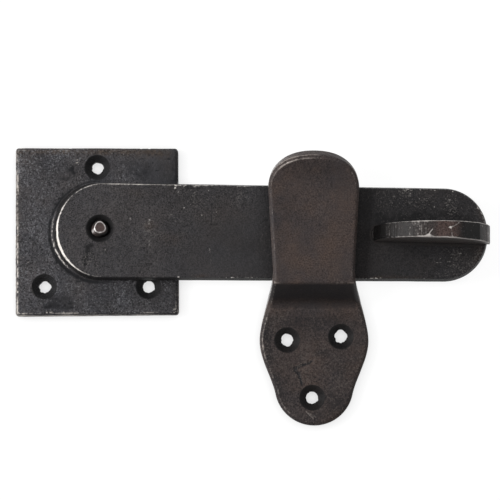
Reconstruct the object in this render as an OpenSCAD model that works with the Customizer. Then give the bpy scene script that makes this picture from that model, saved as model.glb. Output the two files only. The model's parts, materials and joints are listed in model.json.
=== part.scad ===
// Gate latch: a turning bar riveted to a square plate, and a cranked keeper that catches it.
// Millimetres. +X runs along the bar, +Z is up and the backs lie on the plane Y = 0.
// The origin is on the rivet's axis, where it meets that plane. The front looks along -Y.

/* [Pivot plate] */
// Width of the square plate
plate_w = 66.0; // [58:0.5:74]
// Height of the square plate
plate_h = 68.1; // [60:0.1:76]
// Thickness of the plate
plate_t = 4.5; // [4:0.1:7]
// Distance of the rivet from the plate's left edge
pivot_from_left = 34.8; // [30:0.1:36]
// Distance of the rivet from the plate's lower edge
pivot_from_bottom = 34.7; // [32:0.1:38]
// Height that the plate loses from its left side to its right, as forged
plate_taper = 0.9; // [0:0.1:1.5]
// Distance that the plate's top leans to the left of its foot, as forged
plate_lean = 0.6; // [0:0.1:1.2]
// Radius of the plate's corners
plate_corner_r = 1.4; // [1.2:0.1:4]
// Worn bevel round the plate's front edge
plate_bevel = 1.0; // [0.4:0.1:1.4]
// Distance of the top screw from the plate's top edge
top_screw_in = 8.0; // [7:0.1:8.5]
// Distance of the lower screws from the plate's lower edge
low_screw_up = 11.7; // [8:0.1:12.4]
// Distance between the lower screws
low_screw_span = 42.0; // [36:0.5:46]

/* [Screw holes] */
// Diameter of each screw hole, for a No. 10 wood screw
screw_d = 5.0; // [4:0.1:5.6]
// Diameter of the countersink at the front face
screw_sink_d = 9.8; // [8.6:0.1:10.4]

/* [Latch bar] */
// Length from the rivet to the bar's tip
bar_reach = 155.3; // [144:0.1:166]
// Length of the tail behind the rivet
bar_tail = 20.0; // [19:0.1:21]
// Width of the bar at the rivet end
bar_w_tail = 39.4; // [37:0.1:40]
// Width of the bar at its tip
bar_w_tip = 37.6; // [34:0.1:38.5]
// Thickness of the bar
bar_t = 5.0; // [4.4:0.1:6]
// Height of the straight wall at the bar's back, before its sides lean in
bar_foot_t = 1.5; // [0.8:0.1:2.5]
// Distance that the front face is smaller on each side
bar_draft = 0.8; // [0.5:0.1:1.4]
// Further distance that the tail's rounded end leans in
tail_lean = 1.9; // [0.5:0.1:2.2]
// Half height of the flat between the tip's two corner rounds
tip_flat = 1.0; // [0:0.1:3]
// Angle that the bar droops to where it lies in the keeper
bar_droop = 0.8; // [0:0.05:1.5]
// Height of the rivet above the bar's centreline
rivet_up = 0.7; // [0:0.1:1.5]
// Gap between the plate and the bar
bar_gap = 0.4; // [0.3:0.05:0.8]

/* [Pivot rivet] */
// Diameter of the rivet where the bar turns on it
journal_d = 6.0; // [5.6:0.1:6.6]
// Gap round the journal
journal_clear = 0.05; // [0.02:0.01:0.1]
// Diameter of the rivet's tail, which passes through the plate
tail_d = 5.0; // [4:0.1:5.2]
// Diameter of the tail where it is hammered flush with the plate's back
tail_spread_d = 7.2; // [6:0.1:8]
// Diameter of the rivet's head
head_d = 7.2; // [7:0.1:7.8]
// Diameter of the flat that the hammer left on the head
head_flat_d = 4.2; // [3:0.1:5]
// Height that the head stands above the bar's face
head_proud = 0.7; // [0.4:0.1:1.5]
// Diameter of the countersink in the bar that the head sits in
bar_sink_d = 10.8; // [10.2:0.1:11.4]
// Number of hammer facets round the head
head_facets = 7; // [5:1:9]

/* [Lift tab] */
// Gap between the side of the keeper's tongue and the tab's near end
tab_gap = 5.5; // [4:0.1:8]
// Distance that the tab's far end stands past the bar's tip
tab_overhang = 0.7; // [0:0.1:2]
// Thickness of the tab at its rivet end
tab_t_near = 5.8; // [4.6:0.1:6.4]
// Thickness of the tab at its tip end
tab_t_far = 7.2; // [5:0.1:8]
// Distance of the tab below the bar's centreline
tab_down = 0.4; // [0:0.1:1]
// Worn bevel along the tab's rim
tab_bevel = 0.5; // [0.3:0.1:1]
// Radius of the weld fillet at the tab's root
tab_fillet = 1.1; // [0.8:0.1:2]

/* [Keeper] */
// Distance from the rivet to the keeper's centreline
keeper_x = 85.7; // [80:0.1:92]
// Thickness of the keeper's tongue and crank
tongue_t = 5.0; // [4.4:0.1:6]
// Gap between the bar's face and the tongue's back
throat_clear = 1.0; // [0.6:0.1:2]
// Gap under the bar where it lies in the crank
seat_clear = 0.35; // [0.3:0.05:0.8]
// Slope of the crank, from the post's face
crank_angle = 56; // [48:1:64]
// Width of the tongue at its rounded tip
tongue_w = 36.4; // [32:0.1:40]
// Width of the tongue at the neck above the crank
neck_w = 32.6; // [30:0.1:36]
// Height of the straight tongue above the crank
tongue_rise = 34.8; // [32:0.1:38]
// Length of the rounded arch at the tongue's tip
arch_len = 14.6; // [12:0.1:16]
// Squareness of the arch, where 2 is an ellipse
arch_power = 2.2; // [2:0.05:3]
// Bending radius of the flared tip
flare_r = 30; // [26:1:40]
// Angle that the tip flares forward
flare_angle = 34; // [24:1:38]
// Width of the foot across its shoulders
shoulder_w = 43.8; // [40:0.2:48]
// Inside radius of the throat, at the top of the crank
throat_r = 2; // [1:0.1:3]
// Radius of the heel behind the foot of the crank
heel_r = 4; // [2:0.1:6]
// Distance of the shoulders below the crank's outer corner
shoulder_drop = 22.2; // [20:0.1:25]
// Radius of the round lower end of the foot
lobe_r = 15.8; // [15.4:0.1:17.6]
// Distance of the lower end's centre below the shoulders
lobe_drop = 18.2; // [16:0.1:20]
// Worn bevel round the keeper's front edges
keeper_bevel = 1.0; // [0.4:0.1:1.4]
// Radius in the corner where the crank meets the foot
foot_fillet = 3.2; // [1.5:0.1:5]
// Radius of the crisp outer corner at the top of the crank
corner_r = 0.8; // [0.4:0.1:2]
// Distance between the two upper screws
pair_span = 21.5; // [19:0.1:24]
// Height that the right upper screw sits above the left one, as drilled by hand
pair_skew = 1.3; // [0:0.1:2]
// Distance of the upper screws below the crank's outer corner
pair_drop = 21.3; // [20:0.1:24]
// Distance of the lower screw below the upper pair
third_drop = 23.7; // [20:0.1:25]
// Distance of the lower screw to the left of the centreline, as drilled by hand
third_aside = 0.8; // [0:0.1:1]

/* [Hidden] */
$fn = 72;
// Cutters run this far past the faces that they open.
over = 1;
// Thickness of the thin slices that a blended shape is stretched between.
slice = 0.01;
hull_fn = 32;
// Gap along the rivet between its head's cone and the bar's countersink.
seat_gap = 0.35;
// Height of the straight rim round the rivet's head.
head_rim = 0.3;
// Hammer facets on the head: their depth at the flat's edge, slope, spread of slope and spread of place.
facet_cut = 0.12;
facet_slope = 38;
facet_slope_spread = 8;
facet_turn_spread = 12;
// The weld's round end is centred this share of the tab's half thickness inside the tab's near end.
weld_set_in = 0.85;
// The weld stops this far short of the edge of the bar's face.
weld_stop = 1;
// Angle at which the foot's round end gives way to the waist, and at which its first section is taken.
lobe_turn = 12;
lobe_start = 4;
// Height of the neck above the crank's bend.
neck_rise = 3;
// Reach of the outline's curves from the lobe, to and from the shoulder, and to the neck.
lobe_pull = 7;
waist_pull = 7.5;
shoulder_pull = 8;
neck_pull = 9;
neck_splay = 0.2;
plate_cx = plate_w / 2 - pivot_from_left;
plate_cz = plate_h / 2 - pivot_from_bottom;
screw_sink = (screw_sink_d - screw_d) / 2;
bar_back = plate_t + bar_gap;
bar_face = bar_back + bar_t;
bore_d = journal_d + 2 * journal_clear;
bar_sink = (bar_sink_d - bore_d) / 2;
tip_r = bar_w_tip / 2 - tip_flat;
tip_x = bar_reach - tip_r;
tail_r = bar_w_tail / 2;
tail_x = tail_r - bar_tail;
// The half-round tab fills the bar from beside the tongue to just past the tip.
tab_near_x = keeper_x + tongue_w / 2 + tab_gap;
tab_r = (bar_reach + tab_overhang - tab_near_x) / 2;
tab_x = tab_near_x + tab_r;
tongue_back = bar_face + throat_clear;
tongue_face = tongue_back + tongue_t;
// The foot is as thick as the plate, so that the bar clears both by the same gap.
foot_t = plate_t;
bar_axis_z = -rivet_up;

// Half width of the bar's front face at a distance x along the bar.
function front_half_w(x) = let (
        near = tail_r - bar_draft,
        far = bar_w_tip / 2 - bar_draft)
    near + (far - near) * (x - tail_x) / (tip_x - tail_x);

// Height of the bar's lower front edge where the keeper's centreline crosses it.
bar_low_z = (bar_axis_z - front_half_w(keeper_x)) * cos(bar_droop) - keeper_x * sin(bar_droop);
// Height of the crank's inner slope in the plane of the bar's face.
slope_z = bar_low_z - seat_clear / sin(crank_angle);
// Corners of the strap as [distance from the back plane, height]: at the top of the crank and at its foot.
inner_corner = [tongue_back, slope_z + throat_clear / tan(crank_angle)];
outer_corner = [tongue_face, inner_corner[1] - tongue_t * tan(crank_angle / 2)];
heel_corner = [0, inner_corner[1] - tongue_back / tan(crank_angle)];
toe_corner = [foot_t, outer_corner[1] - (tongue_face - foot_t) / tan(crank_angle)];
flare_z = outer_corner[1] + tongue_rise;
shoulder_z = outer_corner[1] - shoulder_drop;
lobe_z = shoulder_z - lobe_drop;
pair_z = outer_corner[1] - pair_drop;
tip_s = flare_z + flare_r * flare_angle * PI / 180;

// Points of an arc between two angles.
function arc(c, r, a0, a1, n) = [for (i = [0:n]) let (a = a0 + (a1 - a0) * i / n) c + r * [cos(a), sin(a)]];

// Points of a cubic curve that leaves p0 towards p1 and reaches p3 from p2.
function curve(p0, p1, p2, p3, n) = [for (i = [0:n]) let (t = i / n, u = 1 - t)
    u * u * u * p0 + 3 * u * u * t * p1 + 3 * u * t * t * p2 + t * t * t * p3];

// Places a shape drawn in X and Z so that it is h deep from the distance d in front of the back plane.
module stand(d, h) {
    translate([0, -d, 0])
        rotate([90, 0, 0])
            linear_extrude(h)
                children();
}

// A countersunk hole through the thickness t, open at the front.
module screw_hole(x, z, t) {
    translate([x, over, z])
        rotate([90, 0, 0])
            cylinder(d = screw_d, h = t + 2 * over);
    translate([x, screw_sink - t, z])
        rotate([90, 0, 0])
            cylinder(d1 = screw_d, d2 = screw_sink_d + 2 * over, h = screw_sink + over);
}

// The plate's outline, drawn in by inset on every side, with arcs at its corners.
module plate_outline(inset) {
    w = plate_w / 2 - inset;
    h = plate_h / 2 - inset;
    lean = plate_lean / 2;
    taper = plate_taper / 4;
    r = plate_corner_r;
    translate([plate_cx, plate_cz])
        polygon(concat(
            arc([w - lean - r, h - taper - r], r, 0, 90, 6),
            arc([-w - lean + r, h + taper - r], r, 90, 180, 6),
            arc([-w + lean + r, -h - taper + r], r, 180, 270, 6),
            arc([w + lean - r, -h + taper + r], r, 270, 360, 6)));
}

// The square plate with its bevel, three screw holes and the hammered rivet's hole.
module pivot_plate() {
    color("#4a4a4c")
        difference() {
            union() {
                stand(0, plate_t - plate_bevel)
                    plate_outline(0);
                hull() {
                    stand(plate_t - plate_bevel - slice, slice)
                        plate_outline(0);
                    stand(plate_t - slice, slice)
                        plate_outline(plate_bevel);
                }
            }
            screw_hole(plate_cx, plate_cz + plate_h / 2 - top_screw_in, plate_t);
            for (s = [-1, 1])
                screw_hole(plate_cx + s * low_screw_span / 2, low_screw_up - pivot_from_bottom, plate_t);
            rotate([90, 0, 0])
                tail_shape(over);
        }
}

// The rivet's tail, which also cuts its hole in the plate; extra lengthens it at both ends.
module tail_shape(extra) {
    rotate_extrude()
        polygon([
            [0, -extra],
            [tail_spread_d / 2 + extra, -extra],
            [tail_d / 2, (tail_spread_d - tail_d) / 2],
            [tail_d / 2, plate_t + extra],
            [0, plate_t + extra]]);
}

// The shouldered rivet: its tail is hammered into the plate, and its head keeps the bar on.
module pivot_rivet() {
    sink_floor = bar_face - bar_sink;
    head_low = sink_floor + seat_gap;
    head_wide = head_low + (head_d - journal_d) / 2;
    head_top = bar_face + head_proud;
    color("#6b6460")
        difference() {
            rotate([90, 0, 0]) {
                tail_shape(0);
                rotate_extrude()
                    polygon(concat(
                        [[0, plate_t], [journal_d / 2, plate_t], [journal_d / 2, head_low]],
                        [[head_d / 2, head_wide]],
                        curve([head_d / 2, head_wide + head_rim], [head_d / 2, head_top - head_rim],
                            [(head_flat_d + head_d) / 4, head_top], [head_flat_d / 2, head_top], 6),
                        [[0, head_top]]));
            }
            for (i = [0:head_facets - 1])
                rotate([0, i * 360 / head_facets + facet_turn_spread * sin(i * 140), 0])
                    translate([0, -head_top + facet_cut, head_flat_d / 2])
                        rotate([facet_slope + facet_slope_spread * sin(i * 97), 0, 0])
                            translate([-head_d, -head_d, 0])
                                cube([2 * head_d, head_d, head_d]);
        }
}

// The bar's outline, each edge drawn in by inset and the tail's end moved in by a further lean.
module bar_slice(inset, lean) {
    hull() {
        translate([tail_x + lean, bar_axis_z])
            circle(r = tail_r - inset, $fn = 2 * hull_fn);
        for (s = [-1, 1])
            translate([tip_x, bar_axis_z + s * tip_flat])
                circle(r = tip_r - inset, $fn = 2 * hull_fn);
    }
}

// The flat bar with drafted sides, bored and countersunk for the rivet.
module latch_bar() {
    color("#39383a")
        rotate([0, bar_droop, 0])
            difference() {
                hull() {
                    stand(bar_back, bar_foot_t)
                        bar_slice(0, 0);
                    stand(bar_face - slice, slice)
                        bar_slice(bar_draft, tail_lean);
                }
                translate([0, over - bar_back, 0])
                    rotate([90, 0, 0])
                        cylinder(d = bore_d, h = bar_t + 2 * over);
                translate([0, bar_sink - bar_face, 0])
                    rotate([90, 0, 0])
                        cylinder(d1 = bore_d, d2 = bar_sink_d + 2 * over, h = bar_sink + over);
            }
}

// A thin half-disc slice of the tab at height z above its middle, tilted to follow the taper.
module tab_slice(z, r) {
    taper = atan((tab_t_far - tab_t_near) / (4 * tab_r));
    rotate([0, z > 0 ? -taper : taper, 0])
        translate([0, 0, z])
            linear_extrude(slice, center = true)
                polygon(arc([0, 0], r, 180, 360, hull_fn));
}

// Hollow profile of the weld, from the tab's side out to the bar's face.
function weld_profile(half_t, r) = concat(
    [[0, 0], [half_t + r, 0]],
    arc([half_t + r, r], r, 270, 180, 6),
    [[0, r]]);

// The half-round lift tab, welded upright on the bar's face.
module lift_tab() {
    mid_t = (tab_t_near + tab_t_far) / 2;
    weld_x = tab_near_x + weld_set_in * tab_t_near / 2;
    weld_end = bar_reach - bar_draft - weld_stop;
    color("#4d4846")
        rotate([0, bar_droop, 0])
            translate([0, -bar_face, bar_axis_z - tab_down]) {
                translate([tab_x, 0, 0])
                    hull()
                        for (s = [-1, 1]) {
                            tab_slice(s * mid_t / 2, tab_r - tab_bevel);
                            tab_slice(s * (mid_t / 2 - tab_bevel), tab_r);
                        }
                for (s = [0, 1])
                    mirror([0, 0, s])
                        translate([weld_x, 0, 0])
                            rotate([90, 0, 90])
                                linear_extrude(weld_end - weld_x)
                                    polygon([for (p = weld_profile(tab_t_near / 2, tab_fillet)) [-p[1], p[0]]]);
                translate([weld_x, 0, 0])
                    rotate([90, 0, 0])
                        rotate_extrude()
                            polygon(weld_profile(tab_t_near / 2, tab_fillet));
            }
}

// Point on the strap where it turns out of the foot, at the share f of the bend round the corner c.
function foot_turn(c, r, f) = let (a = f * crank_angle)
    c + [r, -r * tan(crank_angle / 2)] + r * [-cos(a), sin(a)];

// Point on the strap where it turns up into the tongue, at the share f of the bend round the corner c.
function tongue_turn(c, r, f) = let (a = (1 - f) * crank_angle)
    c + [-r, r * tan(crank_angle / 2)] + r * [cos(a), -sin(a)];

function between(p, q, f) = p + (q - p) * f;

// Heights on the front face where its bends start and end.
s_toe = foot_turn(toe_corner, foot_fillet, 0)[1];
s_slope = foot_turn(toe_corner, foot_fillet, 1)[1];
s_bend = tongue_turn(outer_corner, corner_r, 0)[1];
s_tongue = tongue_turn(outer_corner, corner_r, 1)[1];

// Point of one face of the strap at the station s, from its low and high corners and their radii.
function face_point(s, low, r_low, high, r_high, flare_face_r) =
    s < shoulder_z ? [low[0], s]
    : s < s_toe ? between([low[0], shoulder_z], foot_turn(low, r_low, 0), (s - shoulder_z) / (s_toe - shoulder_z))
    : s < s_slope ? foot_turn(low, r_low, (s - s_toe) / (s_slope - s_toe))
    : s < s_bend ? between(foot_turn(low, r_low, 1), tongue_turn(high, r_high, 0), (s - s_slope) / (s_bend - s_slope))
    : s < s_tongue ? tongue_turn(high, r_high, (s - s_bend) / (s_tongue - s_bend))
    : s < flare_z ? between(tongue_turn(high, r_high, 1), [high[0], flare_z], (s - s_tongue) / (flare_z - s_tongue))
    : let (a = (s - flare_z) / flare_r * 180 / PI)
        [tongue_back + tongue_t / 2 + flare_r - flare_face_r * cos(a), flare_z + flare_face_r * sin(a)];

function back_point(s) = face_point(s, heel_corner, heel_r, inner_corner, throat_r, flare_r + tongue_t / 2);
function front_point(s) = face_point(s, toe_corner, foot_fillet, outer_corner, corner_r, flare_r - tongue_t / 2);

// Half outline of the strap as [half width, station], from the bottom of the foot to the tip.
neck_z = s_tongue + neck_rise;
lobe_arc = arc([0, lobe_z], lobe_r, lobe_start - 90, -lobe_turn, 14);
lobe_end = lobe_arc[len(lobe_arc) - 1];
shoulder_point = [shoulder_w / 2, shoulder_z];
waist_curve = curve(lobe_end, lobe_end + lobe_pull * [sin(lobe_turn), cos(lobe_turn)],
    shoulder_point - [0, waist_pull], shoulder_point, 14);
neck_curve = curve(shoulder_point, shoulder_point + [0, shoulder_pull],
    [neck_w / 2 + neck_splay, neck_z - neck_pull], [neck_w / 2, neck_z], 20);
arch_start = tip_s - arch_len;
arch = [for (i = [0:16]) let (a = 90 * i / 17)
    [tongue_w / 2 * pow(cos(a), 2 / arch_power), arch_start + arch_len * pow(sin(a), 2 / arch_power)]];
outline_table = [for (p = concat(waist_curve, neck_curve, arch)) [p[1], p[0]]];

// Stations between a and b, without b.
function steps(a, b, n) = [for (i = [0:n - 1]) a + (b - a) * i / n];

middle_stations = concat(
    [for (i = [1:13]) waist_curve[i][1]],
    steps(shoulder_z, s_toe, 8),
    steps(s_toe, s_slope, 6),
    steps(s_slope, s_bend, 5),
    steps(s_bend, s_tongue, 4),
    steps(s_tongue, flare_z, 9),
    steps(flare_z, arch_start, 2));
stations = concat(
    lobe_arc,
    [for (s = middle_stations) [lookup(s, outline_table), s]],
    arch);
last = len(stations) - 1;

// Outward direction of the outline at the station number i.
function outward(i) = i == 0 ? [0, -1] : i == last ? [0, 1] :
    let (t = stations[i + 1] - stations[i - 1]) [t[1], -t[0]] / norm(t);

// The six corners of the strap's section at the station number i, with the front edges bevelled.
function section(i) = let (
        w = stations[i][0],
        s = stations[i][1],
        inset = stations[i] - keeper_bevel * outward(i),
        back = back_point(s),
        front = front_point(s),
        side = between(back, front, 1 - keeper_bevel / norm(front - back)),
        face = front_point(inset[1]))
    [[-w, -back[0], back[1]], [w, -back[0], back[1]],
     [w, -side[0], side[1]], [inset[0], -face[0], face[1]],
     [-inset[0], -face[0], face[1]], [-w, -side[0], side[1]]];

// The whole strap: foot, crank and flared tongue, lofted through its sections.
module strap() {
    points = [for (i = [0:last]) each section(i)];
    skin = [for (i = [0:last - 1]) for (k = [0:5]) let (
            a = 6 * i + k,
            b = 6 * i + (k + 1) % 6)
        each [[a, a + 6, b], [b, a + 6, b + 6]]];
    top = 6 * last;
    polyhedron(points, concat(skin,
        [[0, 1, 5], [1, 2, 5], [5, 2, 4], [2, 3, 4]],
        [[top, top + 5, top + 1], [top + 1, top + 5, top + 2], [top + 5, top + 4, top + 2], [top + 2, top + 4, top + 3]]));
}

// The cranked keeper with its three screw holes.
module keeper() {
    color("#40393a")
        difference() {
            translate([keeper_x, 0, 0])
                strap();
            for (s = [-1, 1])
                screw_hole(keeper_x + s * pair_span / 2, pair_z + s * pair_skew / 2, foot_t);
            screw_hole(keeper_x - third_aside, pair_z - third_drop, foot_t);
        }
}

pivot_plate();
pivot_rivet();
latch_bar();
lift_tab();
keeper();
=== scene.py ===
# %% [markdown]
# # A forged gate latch
# A square plate, a bar that turns on a hammered rivet, a half-round tab to lift it by and a cranked keeper
# that catches it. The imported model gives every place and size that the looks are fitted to, so it is loaded
# first. Shapes below are worked out in millimetres, and they become metres when a mesh is made.

# %% Load the model
import json
import math

import bpy
import numpy as np
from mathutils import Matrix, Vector


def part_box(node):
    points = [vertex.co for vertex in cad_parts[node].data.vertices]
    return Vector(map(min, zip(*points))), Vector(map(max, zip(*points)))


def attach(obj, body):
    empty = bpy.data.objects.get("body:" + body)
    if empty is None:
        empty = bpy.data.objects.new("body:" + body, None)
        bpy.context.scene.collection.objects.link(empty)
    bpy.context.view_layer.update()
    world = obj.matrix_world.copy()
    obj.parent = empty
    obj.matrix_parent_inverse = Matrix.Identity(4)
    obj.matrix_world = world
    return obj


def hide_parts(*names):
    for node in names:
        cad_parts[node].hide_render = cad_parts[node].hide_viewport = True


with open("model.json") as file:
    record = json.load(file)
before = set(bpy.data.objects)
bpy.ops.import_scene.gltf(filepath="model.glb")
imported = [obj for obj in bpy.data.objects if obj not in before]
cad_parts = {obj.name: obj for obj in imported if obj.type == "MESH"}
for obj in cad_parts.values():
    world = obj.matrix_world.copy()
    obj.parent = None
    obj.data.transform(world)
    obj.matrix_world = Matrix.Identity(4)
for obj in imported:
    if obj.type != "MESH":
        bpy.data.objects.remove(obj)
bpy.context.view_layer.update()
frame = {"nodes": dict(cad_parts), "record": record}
MM = 0.001


def box_mm(name):
    """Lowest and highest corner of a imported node, in millimetres."""
    low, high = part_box(name)
    return np.array(low) / MM, np.array(high) / MM


for name in sorted(frame["nodes"]):
    print(name, *[np.round(corner, 2) for corner in box_mm(name)])

# %% [markdown]
# ## The camera
# The latch was photographed from almost straight in front, a little below its middle and to the right. Low
# faces such as the underside of the crank can be seen, and left walls can't, apart from those that lean in.
# A long lens far away gives that flat look. It is aimed at a point on the bar's face, and the frame is
# 200 mm wide there.

# %% Camera
EYE = np.array([80.2, -829.0, -88.8])
AIM = np.array([60.2, -9.0, -8.8])
FRAME_WIDTH = 200.0

camera = bpy.data.objects.new("camera", bpy.data.cameras.new("camera"))
bpy.context.scene.collection.objects.link(camera)
bpy.context.scene.camera = camera
camera.location = EYE * MM
camera.rotation_euler = Vector(AIM - EYE).to_track_quat("-Z", "Y").to_euler()
camera.data.sensor_width = 36
camera.data.lens = camera.data.sensor_width * np.linalg.norm(AIM - EYE) / FRAME_WIDTH
camera.data.clip_end = 20
print("lens", round(camera.data.lens, 1), "mm")

# %% [markdown]
# ## Light and ground
# The light is that of a small studio: a soft lamp on the left, a weak one on the right, one behind for the
# backs, and a pale surround. The surround is brighter above than below, which leaves the crank's underside
# dark. The latch lies on a white board. Part of the board's white is its own glow, so the shadows on it stay
# faint, and the glow fades where the latch shuts off the light from the left. Only the camera sees the board,
# and only from its front, so that it doesn't darken the backs of the pieces.

# %% Lamps, surround and board
SURROUND = 0.42
BOARD_GLOW = 0.96
BOARD_MATT = 0.12
BOARD_HALF = 3000.0
BOARD_Y = 0.3
GLOW_REACH = 7.0
FROM_LEFT = (-0.92, -0.4, 0.0)
# Stops as (share, grey): up the dome from below, and the glow from a shut off place to an open one.
DOME_TONES = [(0.0, 0.03), (0.45, 0.15), (0.6, 0.7), (1.0, 1.4)]
GLOW_TONES = [(0.1, 0.6), (0.55, 0.86), (0.9, 1.0)]


def lamp(name, place, size, level):
    """A square lamp aimed at the bar. At level 1 it alone would light a white card facing it to white."""
    light = bpy.data.lights.new(name, "AREA")
    obj = bpy.data.objects.new(name, light)
    bpy.context.scene.collection.objects.link(obj)
    way = AIM - np.array(place)
    obj.location = np.array(place) * MM
    obj.rotation_euler = Vector(way).to_track_quat("-Z", "Y").to_euler()
    light.size = size * MM
    light.energy = level * (math.pi * np.linalg.norm(way) * MM) ** 2
    return obj


lamp("key_lamp", (-760, -640, 90), 420, 0.8)
lamp("fill_lamp", (900, -1100, 150), 900, 0.07)
lamp("back_lamp", (-200, 1100, 300), 900, 0.4)

world = bpy.data.worlds.new("surround")
bpy.context.scene.world = world
world.use_nodes = True
bpy.context.scene.view_settings.view_transform = "Standard"


def feed(tree, socket, value):
    """Gives an input what it needs: a link where the value is another socket, and else the value itself."""
    if isinstance(value, bpy.types.NodeSocket):
        tree.links.new(value, socket)
    else:
        socket.default_value = value


def put(tree, kind, links=None, **settings):
    """Adds a node, sets its properties and feeds its inputs."""
    made = tree.nodes.new(kind)
    for key, value in settings.items():
        setattr(made, key, value)
    for key, value in (links or {}).items():
        feed(tree, made.inputs[key], value)
    return made


def calc(tree, operation, first, second, clamp=False):
    """One arithmetic step."""
    return put(tree, "ShaderNodeMath", {0: first, 1: second}, operation=operation, use_clamp=clamp).outputs[0]


def clamped(tree, operation, first, second):
    """One arithmetic step whose result is kept from 0 to 1."""
    return calc(tree, operation, first, second, clamp=True)


def ramp(tree, value, *stops):
    """A colour ramp through (position, grey or colour) stops."""
    made = put(tree, "ShaderNodeValToRGB", {"Fac": value})
    while len(made.color_ramp.elements) < len(stops):
        made.color_ramp.elements.new(1)
    for element, (position, colour) in zip(made.color_ramp.elements, stops):
        element.position = position
        element.color = (*([colour] * 3 if isinstance(colour, (int, float)) else colour), 1)
    return made.outputs["Color"]


def surround_nodes(tree):
    """A pale dome that is darker below. Camera, mirror and glass rays see plain white."""
    tree.nodes.clear()
    way = put(tree, "ShaderNodeTexCoord").outputs["Generated"]
    height = put(tree, "ShaderNodeSeparateXYZ", {"Vector": way}).outputs["Z"]
    share = put(tree, "ShaderNodeMapRange", {"Value": height, "From Min": -1, "From Max": 1})
    dome = ramp(tree, share.outputs["Result"], *DOME_TONES)
    light = put(tree, "ShaderNodeBackground", {"Color": dome, "Strength": SURROUND})
    white = put(tree, "ShaderNodeBackground", {"Color": (1, 1, 1, 1), "Strength": 1})
    path = put(tree, "ShaderNodeLightPath").outputs
    seen = calc(tree, "MAXIMUM", path["Is Camera Ray"], path["Is Glossy Ray"])
    seen = calc(tree, "MAXIMUM", seen, path["Is Transmission Ray"])
    mix = put(tree, "ShaderNodeMixShader", {0: seen, 1: light.outputs[0], 2: white.outputs[0]})
    put(tree, "ShaderNodeOutputWorld", {"Surface": mix.outputs[0]})


surround_nodes(world.node_tree)


def board_material():
    """White board: part glow and part matt, and clear when seen from behind. The glow fades where the latch
    shuts off the light from the left, as it does in the screw holes and just right of every edge."""
    made = bpy.data.materials.new("white_board")
    made.use_nodes = True
    tree = made.node_tree
    tree.nodes.clear()
    open_left = put(tree, "ShaderNodeAmbientOcclusion",
                    {"Distance": GLOW_REACH * MM, "Normal": FROM_LEFT}, samples=12)
    glow = ramp(tree, open_left.outputs["AO"], *GLOW_TONES)
    card = put(tree, "ShaderNodeBsdfPrincipled",
               {"Base Color": (BOARD_MATT, BOARD_MATT, BOARD_MATT, 1), "Roughness": 1,
                "Specular IOR Level": 0, "Emission Color": glow, "Emission Strength": BOARD_GLOW})
    clear = put(tree, "ShaderNodeBsdfTransparent")
    back = put(tree, "ShaderNodeNewGeometry").outputs["Backfacing"]
    mix = put(tree, "ShaderNodeMixShader", {0: back, 1: card.outputs[0], 2: clear.outputs[0]})
    put(tree, "ShaderNodeOutputMaterial", {"Surface": mix.outputs[0]})
    return made


board_corners = [(-BOARD_HALF, BOARD_Y, -BOARD_HALF), (BOARD_HALF, BOARD_Y, -BOARD_HALF),
                 (BOARD_HALF, BOARD_Y, BOARD_HALF), (-BOARD_HALF, BOARD_Y, BOARD_HALF)]
board_mesh = bpy.data.meshes.new("white_board")
board_mesh.from_pydata((np.array(board_corners) * MM).tolist(), [], [(0, 1, 2, 3)])
board = bpy.data.objects.new("white_board", board_mesh)
board_mesh.materials.append(board_material())
bpy.context.scene.collection.objects.link(board)
board.visible_diffuse = False
board.visible_glossy = False
board.visible_transmission = False
board.visible_shadow = False

# %% [markdown]
# ## Curves to build from
# A smith's shapes are arcs, straight stretches and easy curves. Each helper returns a whole array of points,
# and `even` walks along a closed outline so that its points lie the same distance apart. `bell` and `climb`
# say how strongly something holds at each point, such as the wear round a rim.

# %% Arcs, curves and even spacing
WORN_BAND = 0.4
ROUND_POINTS = 4


def bell(value, middle, half, power=2):
    """1 in the middle, falling off to both sides as exp(-(distance / half) ** power)."""
    return np.exp(-((value - middle) / half) ** power)


def climb(value, start, span):
    """0 before the start and then a straight climb to 1 over the span, downwards where it is negative."""
    return np.clip((value - start) / span, 0, 1)


def arc(centre, radius, start, end, count):
    """Points on a circle from one angle to another, in degrees."""
    turn = np.radians(np.linspace(start, end, count))
    return np.array(centre) + radius * np.stack([np.cos(turn), np.sin(turn)], 1)


def cubic(p0, p1, p2, p3, count):
    """A curve that leaves p0 towards p1 and reaches p3 from p2: the cubic Bernstein blend of the four."""
    t = np.linspace(0, 1, count)[:, None]
    u = 1 - t
    points = [np.array(p, float) for p in (p0, p1, p2, p3)]
    return u ** 3 * points[0] + 3 * u * u * t * points[1] + 3 * u * t * t * points[2] + t ** 3 * points[3]


def even(outline, spacing):
    """The closed outline again, with points a given distance apart along its length."""
    loop = np.vstack([outline, outline[:1]])
    length = np.concatenate([[0], np.cumsum(np.linalg.norm(np.diff(loop, axis=0), axis=1))])
    at = np.linspace(0, length[-1], int(length[-1] / spacing), endpoint=False)
    return np.stack([np.interp(at, length, loop[:, k]) for k in range(2)], 1)


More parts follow.
